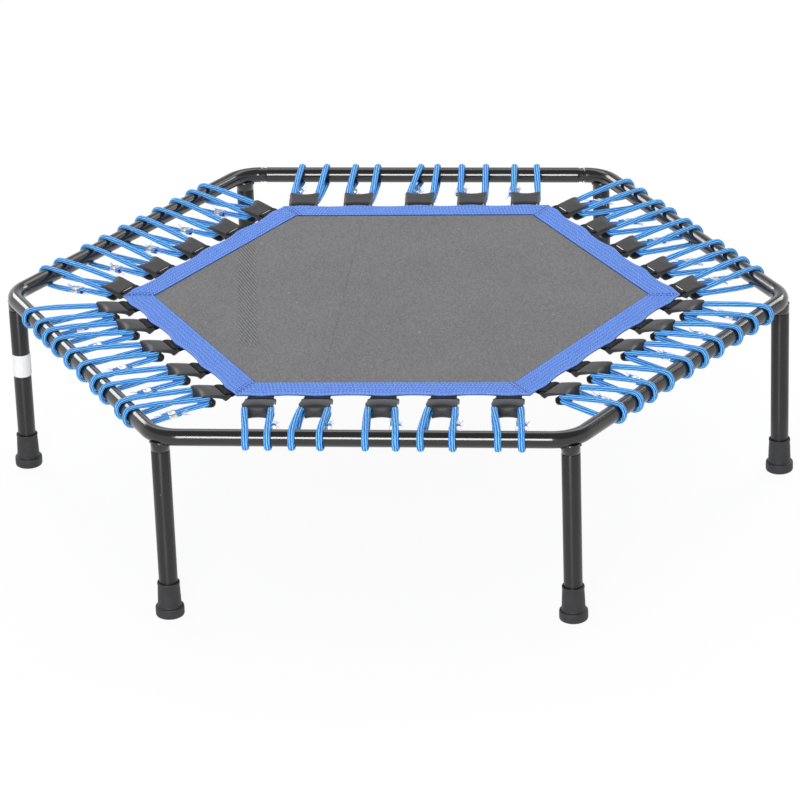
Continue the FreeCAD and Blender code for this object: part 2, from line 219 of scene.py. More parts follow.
class Skin:
    """Points, faces and a map along the surface, gathered for one piece."""

    def __init__(self):
        self.points = []
        self.faces = []
        self.maps = []

    def add(self, points, faces, maps):
        """Takes a part in; maps holds one (along, across) pair for each face corner."""
        start = len(self.points)
        self.points += [tuple(p) for p in points]
        self.faces += [tuple(start + i for i in face) for face in faces]
        self.maps += maps

    def grid(self, rows, alongs, acrosses):
        """Takes in rows of points as a skin, each row closed on itself."""
        count = len(rows[0])
        faces = []
        maps = []
        for i in range(len(rows) - 1):
            for j in range(count):
                for row, column in ((i, j), (i, j + 1), (i + 1, j + 1), (i + 1, j)):
                    maps.append((alongs[row], acrosses[column]))
                near, far = i * count, (i + 1) * count
                after = (j + 1) % count
                faces.append((near + j, near + after, far + after, far + j))
        self.add([p for row in rows for p in row], faces, maps)

    def tube(self, rows, alongs, acrosses):
        """Takes in rows of points as a skin with a face over each end."""
        self.grid(rows, alongs, acrosses)
        for row in (rows[0], rows[-1]):
            self.add(row, [range(len(row))], [(0.0, 0.0)] * len(row))

    def piece(self, name, smooth=True):
        mesh = bpy.data.meshes.new(name)
        mesh.from_pydata(self.points, [], self.faces)
        layer = mesh.uv_layers.new(name="along")
        for loop, pair in zip(layer.data, self.maps):
            loop.uv = pair
        mesh.polygons.foreach_set("use_smooth", [smooth] * len(mesh.polygons))
        tidy = bmesh.new()
        tidy.from_mesh(mesh)
        bmesh.ops.remove_doubles(tidy, verts=tidy.verts, dist=MERGED)
        bmesh.ops.recalc_face_normals(tidy, faces=tidy.faces)
        tidy.to_mesh(mesh)
        tidy.free()
        return new_object(name, mesh)


def sweep(skin, points, sides, size_at, swell_at=None):
    """Sweeps an oval along points; its map is metres along and turns around."""
    runs = [(b - a).normalized() for a, b in zip(points, points[1:])]
    tangents = [runs[0], *[(a + b).normalized() for a, b in zip(runs, runs[1:])], runs[-1]]
    helper = UP if abs(runs[0].z) < 0.9 else Vector((1, 0, 0))
    side = runs[0].cross(helper).normalized()
    rows = []
    for k, (point, tangent) in enumerate(zip(points, tangents)):
        side = (side - tangent * side.dot(tangent)).normalized()
        over = tangent.cross(side)
        wide, high = size_at(k)
        row = []
        for j in range(sides):
            angle = 2 * math.pi * j / sides
            spoke = side * (wide * math.cos(angle)) + over * (high * math.sin(angle))
            if swell_at:
                spoke += spoke.normalized() * swell_at(k, spoke.normalized())
            row.append(point + spoke)
        rows.append(row)
    skin.tube(rows, distances(points), shares(sides))


def add_lathe(skin, profile, centre, segments=64):
    """Turns (radius, height) points about an upright axis."""
    angles = [360 / segments * k for k in range(segments)]
    rows = []
    for radius, z in profile:
        rows.append([centre + polar(max(radius, MERGED), angle, z) for angle in angles])
    skin.grid(rows, [z for _, z in profile], shares(segments))


def spline(points, steps):
    """A smooth run that is tangent to each leg of the route at its middle."""
    middles = [(a + b) / 2 for a, b in zip(points, points[1:])]
    run = [points[0]]
    for a, corner, b in zip(middles, points[1:-1], middles[1:]):
        for k in range(steps):
            t = k / steps
            run.append(a * (1 - t) ** 2 + corner * (2 * t * (1 - t)) + b * t**2)
    return [*run, middles[-1], points[-1]]


def apply_modifiers(piece):
    """Turns a piece with live modifiers into plain mesh."""
    graph = bpy.context.evaluated_depsgraph_get()
    graph.update()
    mesh = bpy.data.meshes.new_from_object(piece.evaluated_get(graph))
    piece.modifiers.clear()
    piece.data = mesh
    return piece


def dress(piece, material, body=None, replaces=()):
    """Gives a piece its material, the body that it moves with and the nodes it stands for."""
    piece.data.materials.clear()
    piece.data.materials.append(material)
    if body:
        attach(piece, body)
    if replaces:
        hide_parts(*replaces)
    return piece


# Shader tools

SPECK_RADIUS = 0.14
SOCKET_KINDS = {"Vector": "NodeSocketVector", "Geometry": "NodeSocketGeometry"}


class Wiring:
    """Places and joins nodes in one tree."""

    def __init__(self, tree):
        self.tree = tree

    def node(self, kind, feeds=None, **settings):
        """A new node; feeds holds what goes into its inputs, by their names or numbers."""
        node = self.tree.nodes.new(kind if "Node" in kind else "ShaderNode" + kind)
        for name, value in settings.items():
            setattr(node, name, value)
        for key, value in (feeds or {}).items():
            self.feed(node.inputs[key], value)
        return node

    def feed(self, socket, value):
        if isinstance(value, bpy.types.NodeSocket):
            self.tree.links.new(value, socket)
        else:
            socket.default_value = value

    def math(self, operation, *values):
        return self.node("Math", dict(enumerate(values)), operation=operation).outputs[0]

    def add(self, a, b):
        return self.math("ADD", a, b)

    def minus(self, a, b):
        return self.math("SUBTRACT", a, b)

    def times(self, a, b):
        return self.math("MULTIPLY", a, b)

    def less(self, a, b):
        return self.math("LESS_THAN", a, b)

    def floor(self, value):
        return self.math("FLOOR", value)

    def crests(self, value):
        """Round crests side by side, one for each whole number."""
        return self.math("ABSOLUTE", self.math("SINE", self.times(value, math.pi)))

    def choose(self, over, a, b):
        """The first where over is 1, and the second where it is 0."""
        return self.add(self.times(a, over), self.times(b, self.minus(1.0, over)))

    def split(self, vector):
        return self.node("SeparateXYZ", {0: vector}).outputs

    def mix(self, share, a, b):
        return self.node("Mix", {0: share, 6: a, 7: b}, data_type="RGBA").outputs[2]

    def noise(self, vector, scale, detail=2.0):
        feeds = {"Vector": vector, "Scale": scale, "Detail": detail}
        return self.node("TexNoise", feeds).outputs["Fac"]

    def spread(self, value, low, high, new_low=0.0, new_high=1.0):
        feeds = dict(enumerate((value, low, high, new_low, new_high)))
        return self.node("MapRange", feeds).outputs[0]

    def bump(self, height, strength, distance):
        feeds = {"Strength": strength, "Distance": distance, "Height": height}
        return self.node("Bump", feeds).outputs["Normal"]

    def place(self):
        return self.node("TexCoord").outputs["Object"]

    def surface_map(self):
        return self.node("UVMap", uv_map="along").outputs["UV"]

    def group(self, tree, **values):
        return self.node("Group", values, node_tree=tree).outputs


class Surface(Wiring):
    """A material with one Principled shader, and the wiring of its tree."""

    def __init__(self, name, **values):
        self.material = bpy.data.materials.new(name)
        self.material.use_nodes = True
        super().__init__(self.material.node_tree)
        self.tree.nodes.clear()
        self.shader = self.node("BsdfPrincipled")
        self.output = self.node("OutputMaterial", {"Surface": self.shader.outputs["BSDF"]})
        self.shade(**values)

    def shade(self, **values):
        """Feeds the shader's inputs, named with _ for each space; returns the material."""
        for key, value in values.items():
            self.feed(self.shader.inputs[key.replace("_", " ")], value)
        return self.material


def new_group(name, inputs, outputs, kind="ShaderNodeTree"):
    """A node group; its sockets hold floats, apart from those of SOCKET_KINDS."""
    tree = bpy.data.node_groups.new(name, kind)
    for way, labels in (("INPUT", inputs), ("OUTPUT", outputs)):
        for label in labels:
            socket = SOCKET_KINDS.get(label, "NodeSocketFloat")
            tree.interface.new_socket(label, in_out=way, socket_type=socket)
    w = Wiring(tree)
    return tree, w, w.node("NodeGroupInput").outputs, w.node("NodeGroupOutput").inputs


def plain_weave():
    """Over-and-under threads on a map in metres: Height, and Shade in flecks along threads."""
    labels = ("Vector", "Pitch", "Run")
    tree, w, given, result = new_group("plain weave", labels, ("Height", "Shade"))
    axes = w.split(given["Vector"])
    x, y = [w.math("DIVIDE", axes[k], given["Pitch"]) for k in range(2)]
    over = w.math("ROUND", w.math("PINGPONG", w.add(w.floor(x), w.floor(y)), 1.0))
    w.feed(result["Height"], w.choose(over, w.crests(x), w.crests(y)))
    fleck = w.node("CombineXYZ", {0: w.floor(x), 1: w.floor(w.times(y, given["Run"]))})
    shade = w.node("TexWhiteNoise", {"Vector": fleck.outputs[0]}, noise_dimensions="2D")
    w.feed(result["Shade"], shade.outputs["Value"])
    return tree


def round_braid():
    """A braided cover on a cord's map: Height of the strands, and Light along each."""
    labels = ("Vector", "Pitch", "Strands")
    tree, w, given, result = new_group("round braid", labels, ("Height", "Light"))
    axes = w.split(given["Vector"])
    along = w.math("DIVIDE", axes[0], given["Pitch"])
    around = w.times(axes[1], given["Strands"])
    left = w.add(along, around)
    right = w.minus(along, around)
    cells = w.add(w.floor(left), w.floor(right))
    over = w.math("ROUND", w.math("PINGPONG", w.times(cells, 0.5), 1.0))
    w.feed(result["Height"], w.choose(over, w.crests(left), w.crests(right)))
    strand = w.choose(over, w.floor(left), w.floor(right))
    w.feed(result["Light"], w.times(w.math("PINGPONG", strand, 1.5), 2 / 3))
    return tree


def fine_grain():
    """Moulded or sprayed surface: Height of a fine grain, and Wear in broad soft patches."""
    labels = ("Vector", "Scale")
    tree, w, given, result = new_group("fine grain", labels, ("Height", "Wear"))
    w.feed(result["Height"], w.noise(given["Vector"], given["Scale"]))
    broad = w.noise(given["Vector"], w.times(given["Scale"], 0.03))
    w.feed(result["Wear"], w.spread(broad, 0.35, 0.65))
    return tree


def dust_specks():
    """A few small round specks: Mask is 1 on each."""
    labels = ("Vector", "Scale", "Amount")
    tree, w, given, result = new_group("dust specks", labels, ("Mask",))
    feeds = {"Vector": given["Vector"], "Scale": given["Scale"]}
    cells = w.node("TexVoronoi", feeds).outputs
    chosen = w.less(w.split(cells["Color"])[0], given["Amount"])
    w.feed(result["Mask"], w.times(w.less(cells["Distance"], SPECK_RADIUS), chosen))
    return tree


# Materials

MAT_THREAD = 0.0017
MAT_SEAM_X = -0.080
MAT_SEAM_HALF = 0.0006

# The mat's band of slanting streaks: where its middle crosses the X axis and how it leans,
# its half width and the end of its soft edge, where it fades out, and the streaks themselves
STREAKS_X = -0.232
STREAKS_LEAN = 0.126
STREAKS_HALF = (0.012, 0.018)
STREAKS_END = (-0.215, -0.185)
STREAK_SLANT = 2.2
STREAK_RATE = 552.0


def grey(value, blue=1.0):
    return (value, value, value * blue, 1)


def enamel(name, groups, roughness, drawn=False, **settings):
    """Black stoved enamel on steel tube, with a slight ripple and a few specks of dust."""
    w = Surface(name, **settings)
    place = w.place()
    surface = w.group(groups["grain"], Vector=place, Scale=260.0)
    specks = w.group(groups["specks"], Vector=place, Scale=170.0, Amount=0.025)["Mask"]
    paint = w.mix(surface["Wear"], grey(0.0055, 1.10), grey(0.0090, 1.10))
    if drawn:
        lengthways = w.node("Tangent", direction_type="UV_MAP", uv_map="along")
        w.shade(Tangent=lengthways.outputs["Tangent"])
    return w.shade(
        Base_Color=w.mix(w.times(specks, 0.5), paint, grey(0.25)),
        Roughness=w.spread(surface["Wear"], 0, 1, roughness * 0.85, roughness * 1.15),
        Normal=w.bump(surface["Height"], 0.02, 0.0004),
    )


def foot_rubber(groups):
    w = Surface("matt foot rubber", Specular_IOR_Level=0.45)
    surface = w.group(groups["grain"], Vector=w.place(), Scale=1400.0)
    return w.shade(
        Base_Color=w.mix(surface["Wear"], grey(0.018, 1.1), grey(0.030, 1.1)),
        Roughness=w.spread(surface["Wear"], 0, 1, 0.48, 0.66),
        Normal=w.bump(surface["Height"], 0.25, 0.0003),
    )


def woven_mat(groups):
    """Open-looking grey weave with a joining seam and one band of faint slanting streaks."""
    w = Surface("woven mat", Roughness=0.7, Specular_IOR_Level=0.3)
    place = w.place()
    x, y, _ = w.split(place)
    cloth = w.group(groups["weave"], Vector=place, Pitch=MAT_THREAD, Run=0.4)
    shade = w.add(w.times(cloth["Shade"], 0.26), w.times(w.noise(place, 9.0, 4.0), 0.14))
    # The threads' height lightens the colour on their crests: painted shade in the hollows
    # between threads
    shade = w.add(shade, w.times(cloth["Height"], 0.40))
    from_middle = w.minus(w.add(x, w.times(y, STREAKS_LEAN)), STREAKS_X)
    band = w.spread(w.math("ABSOLUTE", from_middle), *STREAKS_HALF, 1.0, 0.0)
    band = w.times(band, w.spread(y, *STREAKS_END))
    slant = w.math("SINE", w.times(w.add(w.times(x, STREAK_SLANT), y), STREAK_RATE))
    shade = w.add(shade, w.times(band, w.minus(w.times(slant, 0.26), 0.06)))
    from_seam = w.math("ABSOLUTE", w.minus(x, MAT_SEAM_X))
    shade = w.minus(shade, w.times(w.less(from_seam, MAT_SEAM_HALF), 0.16))
    colour = w.mix(shade, grey(0.060, 1.03), grey(0.285, 1.03))
    specks = w.group(groups["specks"], Vector=place, Scale=60.0, Amount=0.025)["Mask"]
    return w.shade(
        Base_Color=w.mix(w.times(specks, 0.5), colour, grey(0.36)),
        Normal=w.bump(cloth["Height"], 0.35, 0.0004),
    )


def blue_webbing(groups):
    """Ribbed blue webbing: painted shade on its inner edge and underside, a painted highlight on
    its outer fold.
    """
    w = Surface("blue edge webbing", Roughness=0.7, Specular_IOR_Level=0.2)
    place = w.surface_map()
    across = w.split(place)[1]
    cloth = w.group(groups["weave"], Vector=place, Pitch=MAT_THREAD, Run=1.0)
    fuzz = w.spread(w.noise(place, 560.0), 0.38, 0.62)
    # The threads' height is painted shade in the weave's hollows; the fuzz is the yarn's own
    # uneven tone
    shade = w.add(w.times(cloth["Height"], 0.22), w.times(fuzz, 0.72))
    colour = w.mix(shade, (0.026, 0.082, 0.52, 1), (0.205, 0.43, 1.0, 1))
    # Painted shade: dark navy on the inner edge face, the underside, the lower fold and a thin
    # strip of the top's inner edge
    colour = w.mix(w.times(w.less(across, 0.0008), 0.85), colour, (0.004, 0.008, 0.07, 1))
    # Painted highlight: the outer fold's rounded top and the last strip of the top are lighter
    fold = w.times(w.less(WEBBING_WIDTH - 0.0012, across), 0.4)
    return w.shade(
        Base_Color=w.mix(fold, colour, (0.30, 0.48, 1.0, 1)),
        Normal=w.bump(cloth["Height"], 0.6, 0.0006),
    )


def thread(name, dark, light):
    w = Surface(name, Roughness=0.55, Specular_IOR_Level=0.3)
    return w.shade(Base_Color=w.mix(w.noise(w.place(), 700.0), dark, light))


def black_webbing(groups):
    w = Surface("black webbing", Roughness=0.75, Specular_IOR_Level=0.2)
    cloth = w.group(groups["weave"], Vector=w.surface_map(), Pitch=0.0018, Run=1.0)
    return w.shade(
        # The weave's height sets the colour: painted shade in the hollows between threads
        Base_Color=w.mix(cloth["Height"], grey(0.004), grey(0.016)),
        Normal=w.bump(cloth["Height"], 0.7, 0.0006),
    )


def hook_nylon(groups):
    w = Surface("satin hook nylon", Specular_IOR_Level=0.34)
    surface = w.group(groups["grain"], Vector=w.place(), Scale=1100.0)
    return w.shade(
        Base_Color=w.mix(surface["Wear"], grey(0.022, 1.12), grey(0.031, 1.12)),
        Roughness=w.spread(surface["Wear"], 0, 1, 0.39, 0.46),
        Normal=w.bump(surface["Height"], 0.10, 0.0003),
    )


def braided_cover(groups):
    """Azure braid: slanting strands over and under, each with long light yarns, partly painted
    highlights.
    """
    w = Surface("azure braided cover", Roughness=0.55, Specular_IOR_Level=0.12)
    place = w.surface_map()
    axes = w.split(place)
    cover = w.group(groups["braid"], Vector=place, Pitch=0.0058, Strands=12.0)
    yarns = w.crests(w.add(w.times(axes[1], 8.0), w.times(axes[0], 9.0)))
    lit = w.add(w.times(cover["Light"], 0.35), 0.60)
    # The strands' Light and height set the colour: painted light on the strands, painted shade
    # in the grooves
    shade = w.add(w.times(cover["Light"], 0.30), w.times(cover["Height"], 0.70))
    colour = w.mix(shade, (0.001, 0.014, 0.25, 1), (0.036, 0.30, 1.0, 1))
    # Light yarn streaks, which also paint the cord's highlights
    yarn_streak_and_highlight = w.times(w.spread(yarns, 0.70, 0.96), lit)
    return w.shade(
        Base_Color=w.mix(yarn_streak_and_highlight, colour, (0.32, 0.82, 1.0, 1)),
        Normal=w.bump(cover["Height"], 0.5, 0.0006),
    )


def crimp_steel(groups):
    w = Surface("pressed crimp steel", Metallic=1.0)
    surface = w.group(groups["grain"], Vector=w.place(), Scale=600.0)
    return w.shade(
        Base_Color=w.mix(surface["Wear"], grey(0.82), grey(0.94)),
        Roughness=w.spread(surface["Height"], 0, 1, 0.22, 0.42),
    )


def white_paper():
    w = Surface("white paper wrap", Roughness=0.45)
    return w.shade(Base_Color=w.mix(w.noise(w.place(), 120.0), grey(0.80), grey(0.88)))


def build_materials():
    groups = {
        "weave": plain_weave(),
        "braid": round_braid(),
        "grain": fine_grain(),
        "specks": dust_specks(),
    }
    coat = {"Coat_Weight": 0.35, "Coat_Roughness": 0.06}
    drawn_coat = {"Anisotropic": 0.9, "Coat_Weight": 0.15}
    return {
        "enamel": enamel("gloss black enamel", groups, 0.17, **coat),
        "leg enamel": enamel("drawn leg enamel", groups, 0.42, drawn=True, **drawn_coat),
        "rubber": foot_rubber(groups),
        "mat": woven_mat(groups),
        "blue": blue_webbing(groups),
        "thread": thread("blue thread", (0.32, 0.52, 1.0, 1), (0.56, 0.76, 1.0, 1)),
        "dark thread": thread("navy thread", (0.010, 0.025, 0.20, 1), (0.02, 0.05, 0.34, 1)),
        "black": black_webbing(groups),
        "nylon": hook_nylon(groups),
        "elastic": braided_cover(groups),
        "steel": crimp_steel(groups),
        "yarn": thread("frayed yarn", (0.30, 0.46, 0.85, 1), (0.80, 0.84, 0.92, 1)),
        "paper": white_paper(),
    }


# Steel ring

# A tube's two kinds of end: how far in from the seam, and how much thinner it is there
SWAGED_END = (
    (0.0, 0.0014),
    (0.0008, 0.0010),
    (0.005, 0.0007),
    (0.006, 0.0),
    (0.007, 0.0),
    (0.009, 0.0),
)
ROUNDED_END = ((0.0, 0.0007), (0.0004, 0.0002), (0.0012, 0.0), (0.002, 0.0), (0.004, 0.0))


def ring_line():
    """The long tube's centre line from seam to seam, and how far each point is into a bend."""
    points = [Vector((-SEAM_X, APOTHEM, RING_Z))]
    marks = [0.0]
    for corner in range(120, 421, 60):
        middle = polar(SHARP_R - BEND_R / COS_30, corner, RING_Z)
        turns = [corner - 30 + 60 * k / BEND_STEPS for k in range(BEND_STEPS + 1)]
        bend = [middle + polar(BEND_R, turn) for turn in turns]
        lead = bend[0] + polar(BEND_CALM, corner - 120)
        points += [lead, *bend, bend[-1] + polar(BEND_CALM, corner + 120)]
        marks += [0.0, *[math.sin(math.pi * share) for share in shares(BEND_STEPS)], 0.0]
    return [*points, Vector((SEAM_X, APOTHEM, RING_Z))], [*marks, 0.0]


def shape_ends(points, end):
    """Adds the points of both ends to a tube's line; returns it and the cut at each point."""
    first = (points[1] - points[0]).normalized()
    last = (points[-2] - points[-1]).normalized()
    head = [points[0] + first * place for place, _ in end]
    tail = [points[-1] + last * place for place, _ in reversed(end)]
    cuts = [cut for _, cut in end]
    run = points[1:-1]
    return [*head, *run, *tail], [*cuts, *[0.0] * len(run), *reversed(cuts)]


def steel_ring(materials):
    """The long tube, with a faint ripple inside its bends, and the straight back tube."""
    points, marks = ring_line()
    line, cuts = shape_ends(points, SWAGED_END)
    calm = [0.0] * len(SWAGED_END)
    marks = [*calm, *marks[1:-1], *calm]

    def bend_ripple(k, direction):
        inward = -Vector((line[k].x, line[k].y, 0)).normalized()
        facing = max(0.0, direction.dot(inward))
        return BEND_RIPPLE * marks[k] * facing**3 * math.cos(k * RIPPLE_RATE)

    def tube(name, node, line, cuts, swell=None):
        skin = Skin()
        sweep(skin, line, TUBE_SIDES, lambda k: (TUBE_R - cuts[k],) * 2, swell)
        dress(skin.piece(name), materials["enamel"], "frame", [node])

    tube("ring_tube", "frame_tube", line, cuts, bend_ripple)
    seams = [Vector((x, APOTHEM, RING_Z)) for x in (-SEAM_X, SEAM_X)]
    tube("ring_back_tube", "frame_back_tube", *shape_ends(seams, ROUNDED_END))


def saddle_height(corner, point):
    """Underside of the bent ring over a point beside its corner."""
    middle = polar(SHARP_R - BEND_R / COS_30, corner)
    off = (Vector((point.x, point.y, 0)) - middle).length - BEND_R
    drop = math.sqrt(max(TUBE_R**2 - off**2, 0.0))
    return min(RING_Z - drop, COLLAR_TOP_Z)


# A stub from its middle out: its collar, its spigot and the spigot's bore
STUB_PROFILE = (
    (0.0, COLLAR_TOP_Z),
    (LEG_R - 0.0012, COLLAR_TOP_Z),
    (LEG_R - 0.0003, COLLAR_TOP_Z - 0.0012),
    (LEG_R, COLLAR_TOP_Z - 0.003),
    (LEG_R, SEAM_Z + 0.0008),
    (LEG_R - 0.0009, SEAM_Z),
    (SPIGOT_R, SEAM_Z),
    (SPIGOT_R, SPIGOT_LOW_Z + 0.001),
    (SPIGOT_R - 0.0007, SPIGOT_LOW_Z),
    (SPIGOT_BORE_R, SPIGOT_LOW_Z),
    (SPIGOT_BORE_R, BORE_TOP_Z),
    (0.0, BORE_TOP_Z),
)

# The weld bead round a stub: how thick it is, how it swells with each pass of the torch, how
# deep it sits and how it fades where the collar stands bare
BEAD_POINTS = 96
BEAD_SIDES = 10
BEAD_INSET = 0.0004
BEAD_HALF = 0.0016
BEAD_SWELL = 0.0007
BEAD_UNEVEN = 0.0004
BEAD_SINK = 0.0010
BEAD_FADE = 0.0016


def weld_bead(skin, corner, centre, chance):
    """A rippled bead round a stub, thinner where the collar stands clear of the tube."""
    line = []
    sizes = []
    for k in range(BEAD_POINTS + 1):
        point = centre + polar(LEG_R - BEAD_INSET, 360 * k / BEAD_POINTS)
        point.z = saddle_height(corner, point)
        bare = smooth_step(point.z, COLLAR_TOP_Z - BEAD_FADE, COLLAR_TOP_Z)
        swell = BEAD_SWELL * abs(math.sin(k * math.pi / 4))
        size = BEAD_HALF + swell + chance.uniform(0, BEAD_UNEVEN)
        point.z -= BEAD_SINK * (1 - bare)
        sizes.append(size * (1 - 0.6 * bare))
        line.append(point)
    sizes[-1] = sizes[0]
    sweep(skin, line, BEAD_SIDES, lambda k: (sizes[k], sizes[k]))


def stubs_and_welds(materials):
    """Stubs under the corners with their spigots, each with its weld bead."""
    stubs = Skin()
    beads = Skin()
    chance = random.Random(5)
    for corner in CORNERS.values():
        centre = polar(CORNER_R, corner)
        add_lathe(stubs, STUB_PROFILE, centre)
        weld_bead(beads, corner, centre, chance)
    collars = stubs.piece("leg_stub_collars")
    dress(collars, materials["enamel"], "frame", ["leg_stubs"])
    dress(beads.piece("weld_beads"), materials["enamel"], "frame")


# Legs and feet

LEG_PROFILE = (
    (LEG_BORE_R, FOOT_SOLE),
    (LEG_R - 0.0003, FOOT_SOLE),
    (LEG_R, FOOT_SOLE + 0.0005),
    (LEG_R, 0.10),
    (LEG_R, 0.19),
    (LEG_R, SEAM_Z - 0.0014),
    (LEG_R - 0.0004, SEAM_Z - 0.0005),
    (LEG_R - 0.0009, SEAM_Z),
    (LEG_BORE_R, SEAM_Z),
    (LEG_BORE_R, FOOT_SOLE),
)
FOOT_PROFILE = (
    (0.0, 0.0008),
    (0.0120, 0.0008),
    (0.0130, 0.0),
    (0.0180, 0.0),
    (0.0196, 0.0004),
    (0.0208, 0.0013),
    (0.0214, 0.0027),
    (0.0215, 0.0060),
    (0.0214, 0.0135),
    (0.0211, 0.0149),
    (0.0204, 0.0157),
    (0.0190, 0.0160),
    (0.0181, 0.0163),
    (0.0178, 0.0172),
    (0.0176, 0.0200),
    (0.0168, 0.0400),
    (0.0163, 0.0500),
    (0.0163, 0.0508),
    (0.0168, 0.0513),
    (0.0168, 0.0538),
    (0.0164, 0.0547),
    (0.0157, 0.0550),
    (0.0147, 0.0547),
    (0.0141, 0.0538),
    (0.0141, FOOT_SOLE),
    (0.0, FOOT_SOLE),
)


def leg_and_foot(number, corner, materials):
    """One leg tube and its rubber foot, which pull off together."""
    body = f"leg_{number}"
    for profile, name, node, material, slot in (
        (LEG_PROFILE, "shell", "tube", "leg enamel", "frame_paint"),
        (FOOT_PROFILE, "boot", "foot", "rubber", "foot_rubber"),
    ):
        skin = Skin()
        add_lathe(skin, profile, polar(CORNER_R, corner))
        piece = skin.piece(f"{body}_{name}")
        dress(piece, materials[material], body, [f"{body}_{node}"])


# The paper band's section, as (out from the tube, height), and its lapped winding
PAPER_SECTION = ((0.00012, 0.157), (0.00030, 0.157), (0.00030, 0.194), (0.00012, 0.194))
PAPER_STEPS = 72
PAPER_START = 20
PAPER_SWEEP = 372
PAPER_LIFT = 0.00045


def white_wrap(materials):
    """A bare band of white paper round the left leg, its end lapped."""
    centre = polar(CORNER_R, CORNERS[2])
    skin = Skin()
    rows = []
    for k in range(PAPER_STEPS + 1):
        angle = PAPER_START - PAPER_SWEEP * k / PAPER_STEPS
        lift = PAPER_LIFT * smooth_step(k, PAPER_STEPS - 8, PAPER_STEPS)
        rows.append([centre + polar(LEG_R + out + lift, angle, z) for out, z in PAPER_SECTION])
    skin.tube(rows, shares(PAPER_STEPS), shares(len(PAPER_SECTION)))
    dress(skin.piece("leg_wrap", smooth=False), materials["paper"], "leg_2")


# Mat


def hook_places(rings):
    """Where each hook sits along its side."""
    middle = (HOOKS_PER_SIDE - 1) / 2
    return [(k - middle) * HOOK_PITCH + shift * MM for k, (shift, _, _) in enumerate(rings)]


def mat_sheet(materials):
    """The woven hexagon, stretched flat but for a faint unevenness."""
    reach = MAT_CORNER_R - (WEBBING_THICKNESS + FOLD_GAP + SCALLOP) / COS_30
    skin = bmesh.new()
    inner = [skin.verts.new((0, 0, MAT_Z))]
    for r in range(1, MAT_RINGS + 1):
        outer = []
        for sector in range(6):
            a = polar(reach * r / MAT_RINGS, 60 * sector, MAT_Z)
            b = polar(reach * r / MAT_RINGS, 60 * sector + 60, MAT_Z)
            outer += [skin.verts.new(a.lerp(b, k / r)) for k in range(r)]
        for sector in range(6):
            for k in range(r):
                near = sector * (r - 1) + k
                far = sector * r + k
                b = outer[(far + 1) % len(outer)]
                c = inner[near % len(inner)]
                skin.faces.new((outer[far], b, c))
                if k < r - 1:
                    skin.faces.new((b, inner[(near + 1) % len(inner)], c))
        inner = outer
    for vertex in skin.verts:
        x, y, _ = vertex.co
        wave = math.sin(31 * x + 2) * math.sin(27 * y + 1) + 0.6 * math.sin(70 * x - 50 * y)
        vertex.co.z += MAT_UNEVEN * wave
    piece = new_object("mat_sheet", mesh_from(skin, "mat_sheet"))
    solid = piece.modifiers.new("thickness", "SOLIDIFY")
    solid.thickness = FABRIC_THICKNESS
    solid.offset = 0
    hang(apply_modifiers(piece))
    dress(piece, materials["mat"], "mat", ["mat_fabric"])


STITCH_ROWS = (0.0035, 0.0105, 0.0175, 0.0245, 0.0315, 0.0385)
BAND_STATIONS = 84
BAND_COLUMNS = 56


def bell(value, half):
    """1 at 0, with a soft fall on both sides."""
    return math.exp(-((value / half) ** 2))


def scallop(t, places):
    """How far the outer edge is drawn out at a place along a side."""
    pull = sum(bell(t - place, SCALLOP_HALF) for place in places)
    return SCALLOP * (min(pull, 1.0) * 2 - 1)


def band_height(n, t):
    """Height of the webbing's top over the fabric's middle: sewn rows and mitre creases."""
    from_outer = MAT_APOTHEM - n
    top = FABRIC_THICKNESS / 2 + FOLD_GAP + WEBBING_THICKNESS
    crown = BAND_CROWN * math.sin(math.pi * min(1, max(0, from_outer / WEBBING_WIDTH)))
    sewn = sum(bell(from_outer - row, SEWN_HALF) for row in STITCH_ROWS)
    mitre = n * TAN_30 - abs(t)
    lap = MITRE_LAP * (1 - smooth_step(mitre, 0.0, MITRE_REACH)) * (1 if t > 0 else 0.3)
    return top + crown + lap - SEWN_DEPTH * sewn - CREASE_DEPTH * bell(mitre, CREASE_HALF)


def edge_reach(n, t, places):
    """Distance out from the middle once the straps have drawn the edge into scallops."""
    near = smooth_step(n, MAT_APOTHEM - WEBBING_WIDTH, MAT_APOTHEM)
    to_corner = smooth_step(n * TAN_30 - abs(t), 0.0, CORNER_CALM)
    return n + scallop(t, places) * near**2 * to_corner


def edge_point(n, t, z, outward, places):
    """A point of the drawn-out edge, z over the fabric's middle, turned to its side."""
    return turned((edge_reach(n, t, places), t, MAT_Z + z), outward)


def band_section(share):
    """The folded webbing's outline, as (out, height), at a share of the way to a corner."""
    inner = MAT_APOTHEM - WEBBING_WIDTH
    slot = FABRIC_THICKNESS / 2 + FOLD_GAP / 2
    tucked = MAT_APOTHEM - TUCK
    section = []
    for j in range(BAND_COLUMNS + 1):
        n = inner + WEBBING_WIDTH * j / BAND_COLUMNS
        rounding = EDGE_ROUNDING * (1 - smooth_step(min(j, BAND_COLUMNS - j), 0, 2))
        section.append((n, band_height(n, share * n * TAN_30) - rounding))
    for angle in (60, 20, -20, -60):
        fold = polar(1.0, angle)
        section.append((MAT_APOTHEM + FOLD_BULGE[0] * fold.x, FOLD_BULGE[1] * fold.y))
    for j in range(7):
        section.append((MAT_APOTHEM - WEBBING_WIDTH * j / 6, -slot - WEBBING_THICKNESS))
    return [*section, (inner, -slot), (tucked, -slot), (tucked, slot), (inner, slot)]


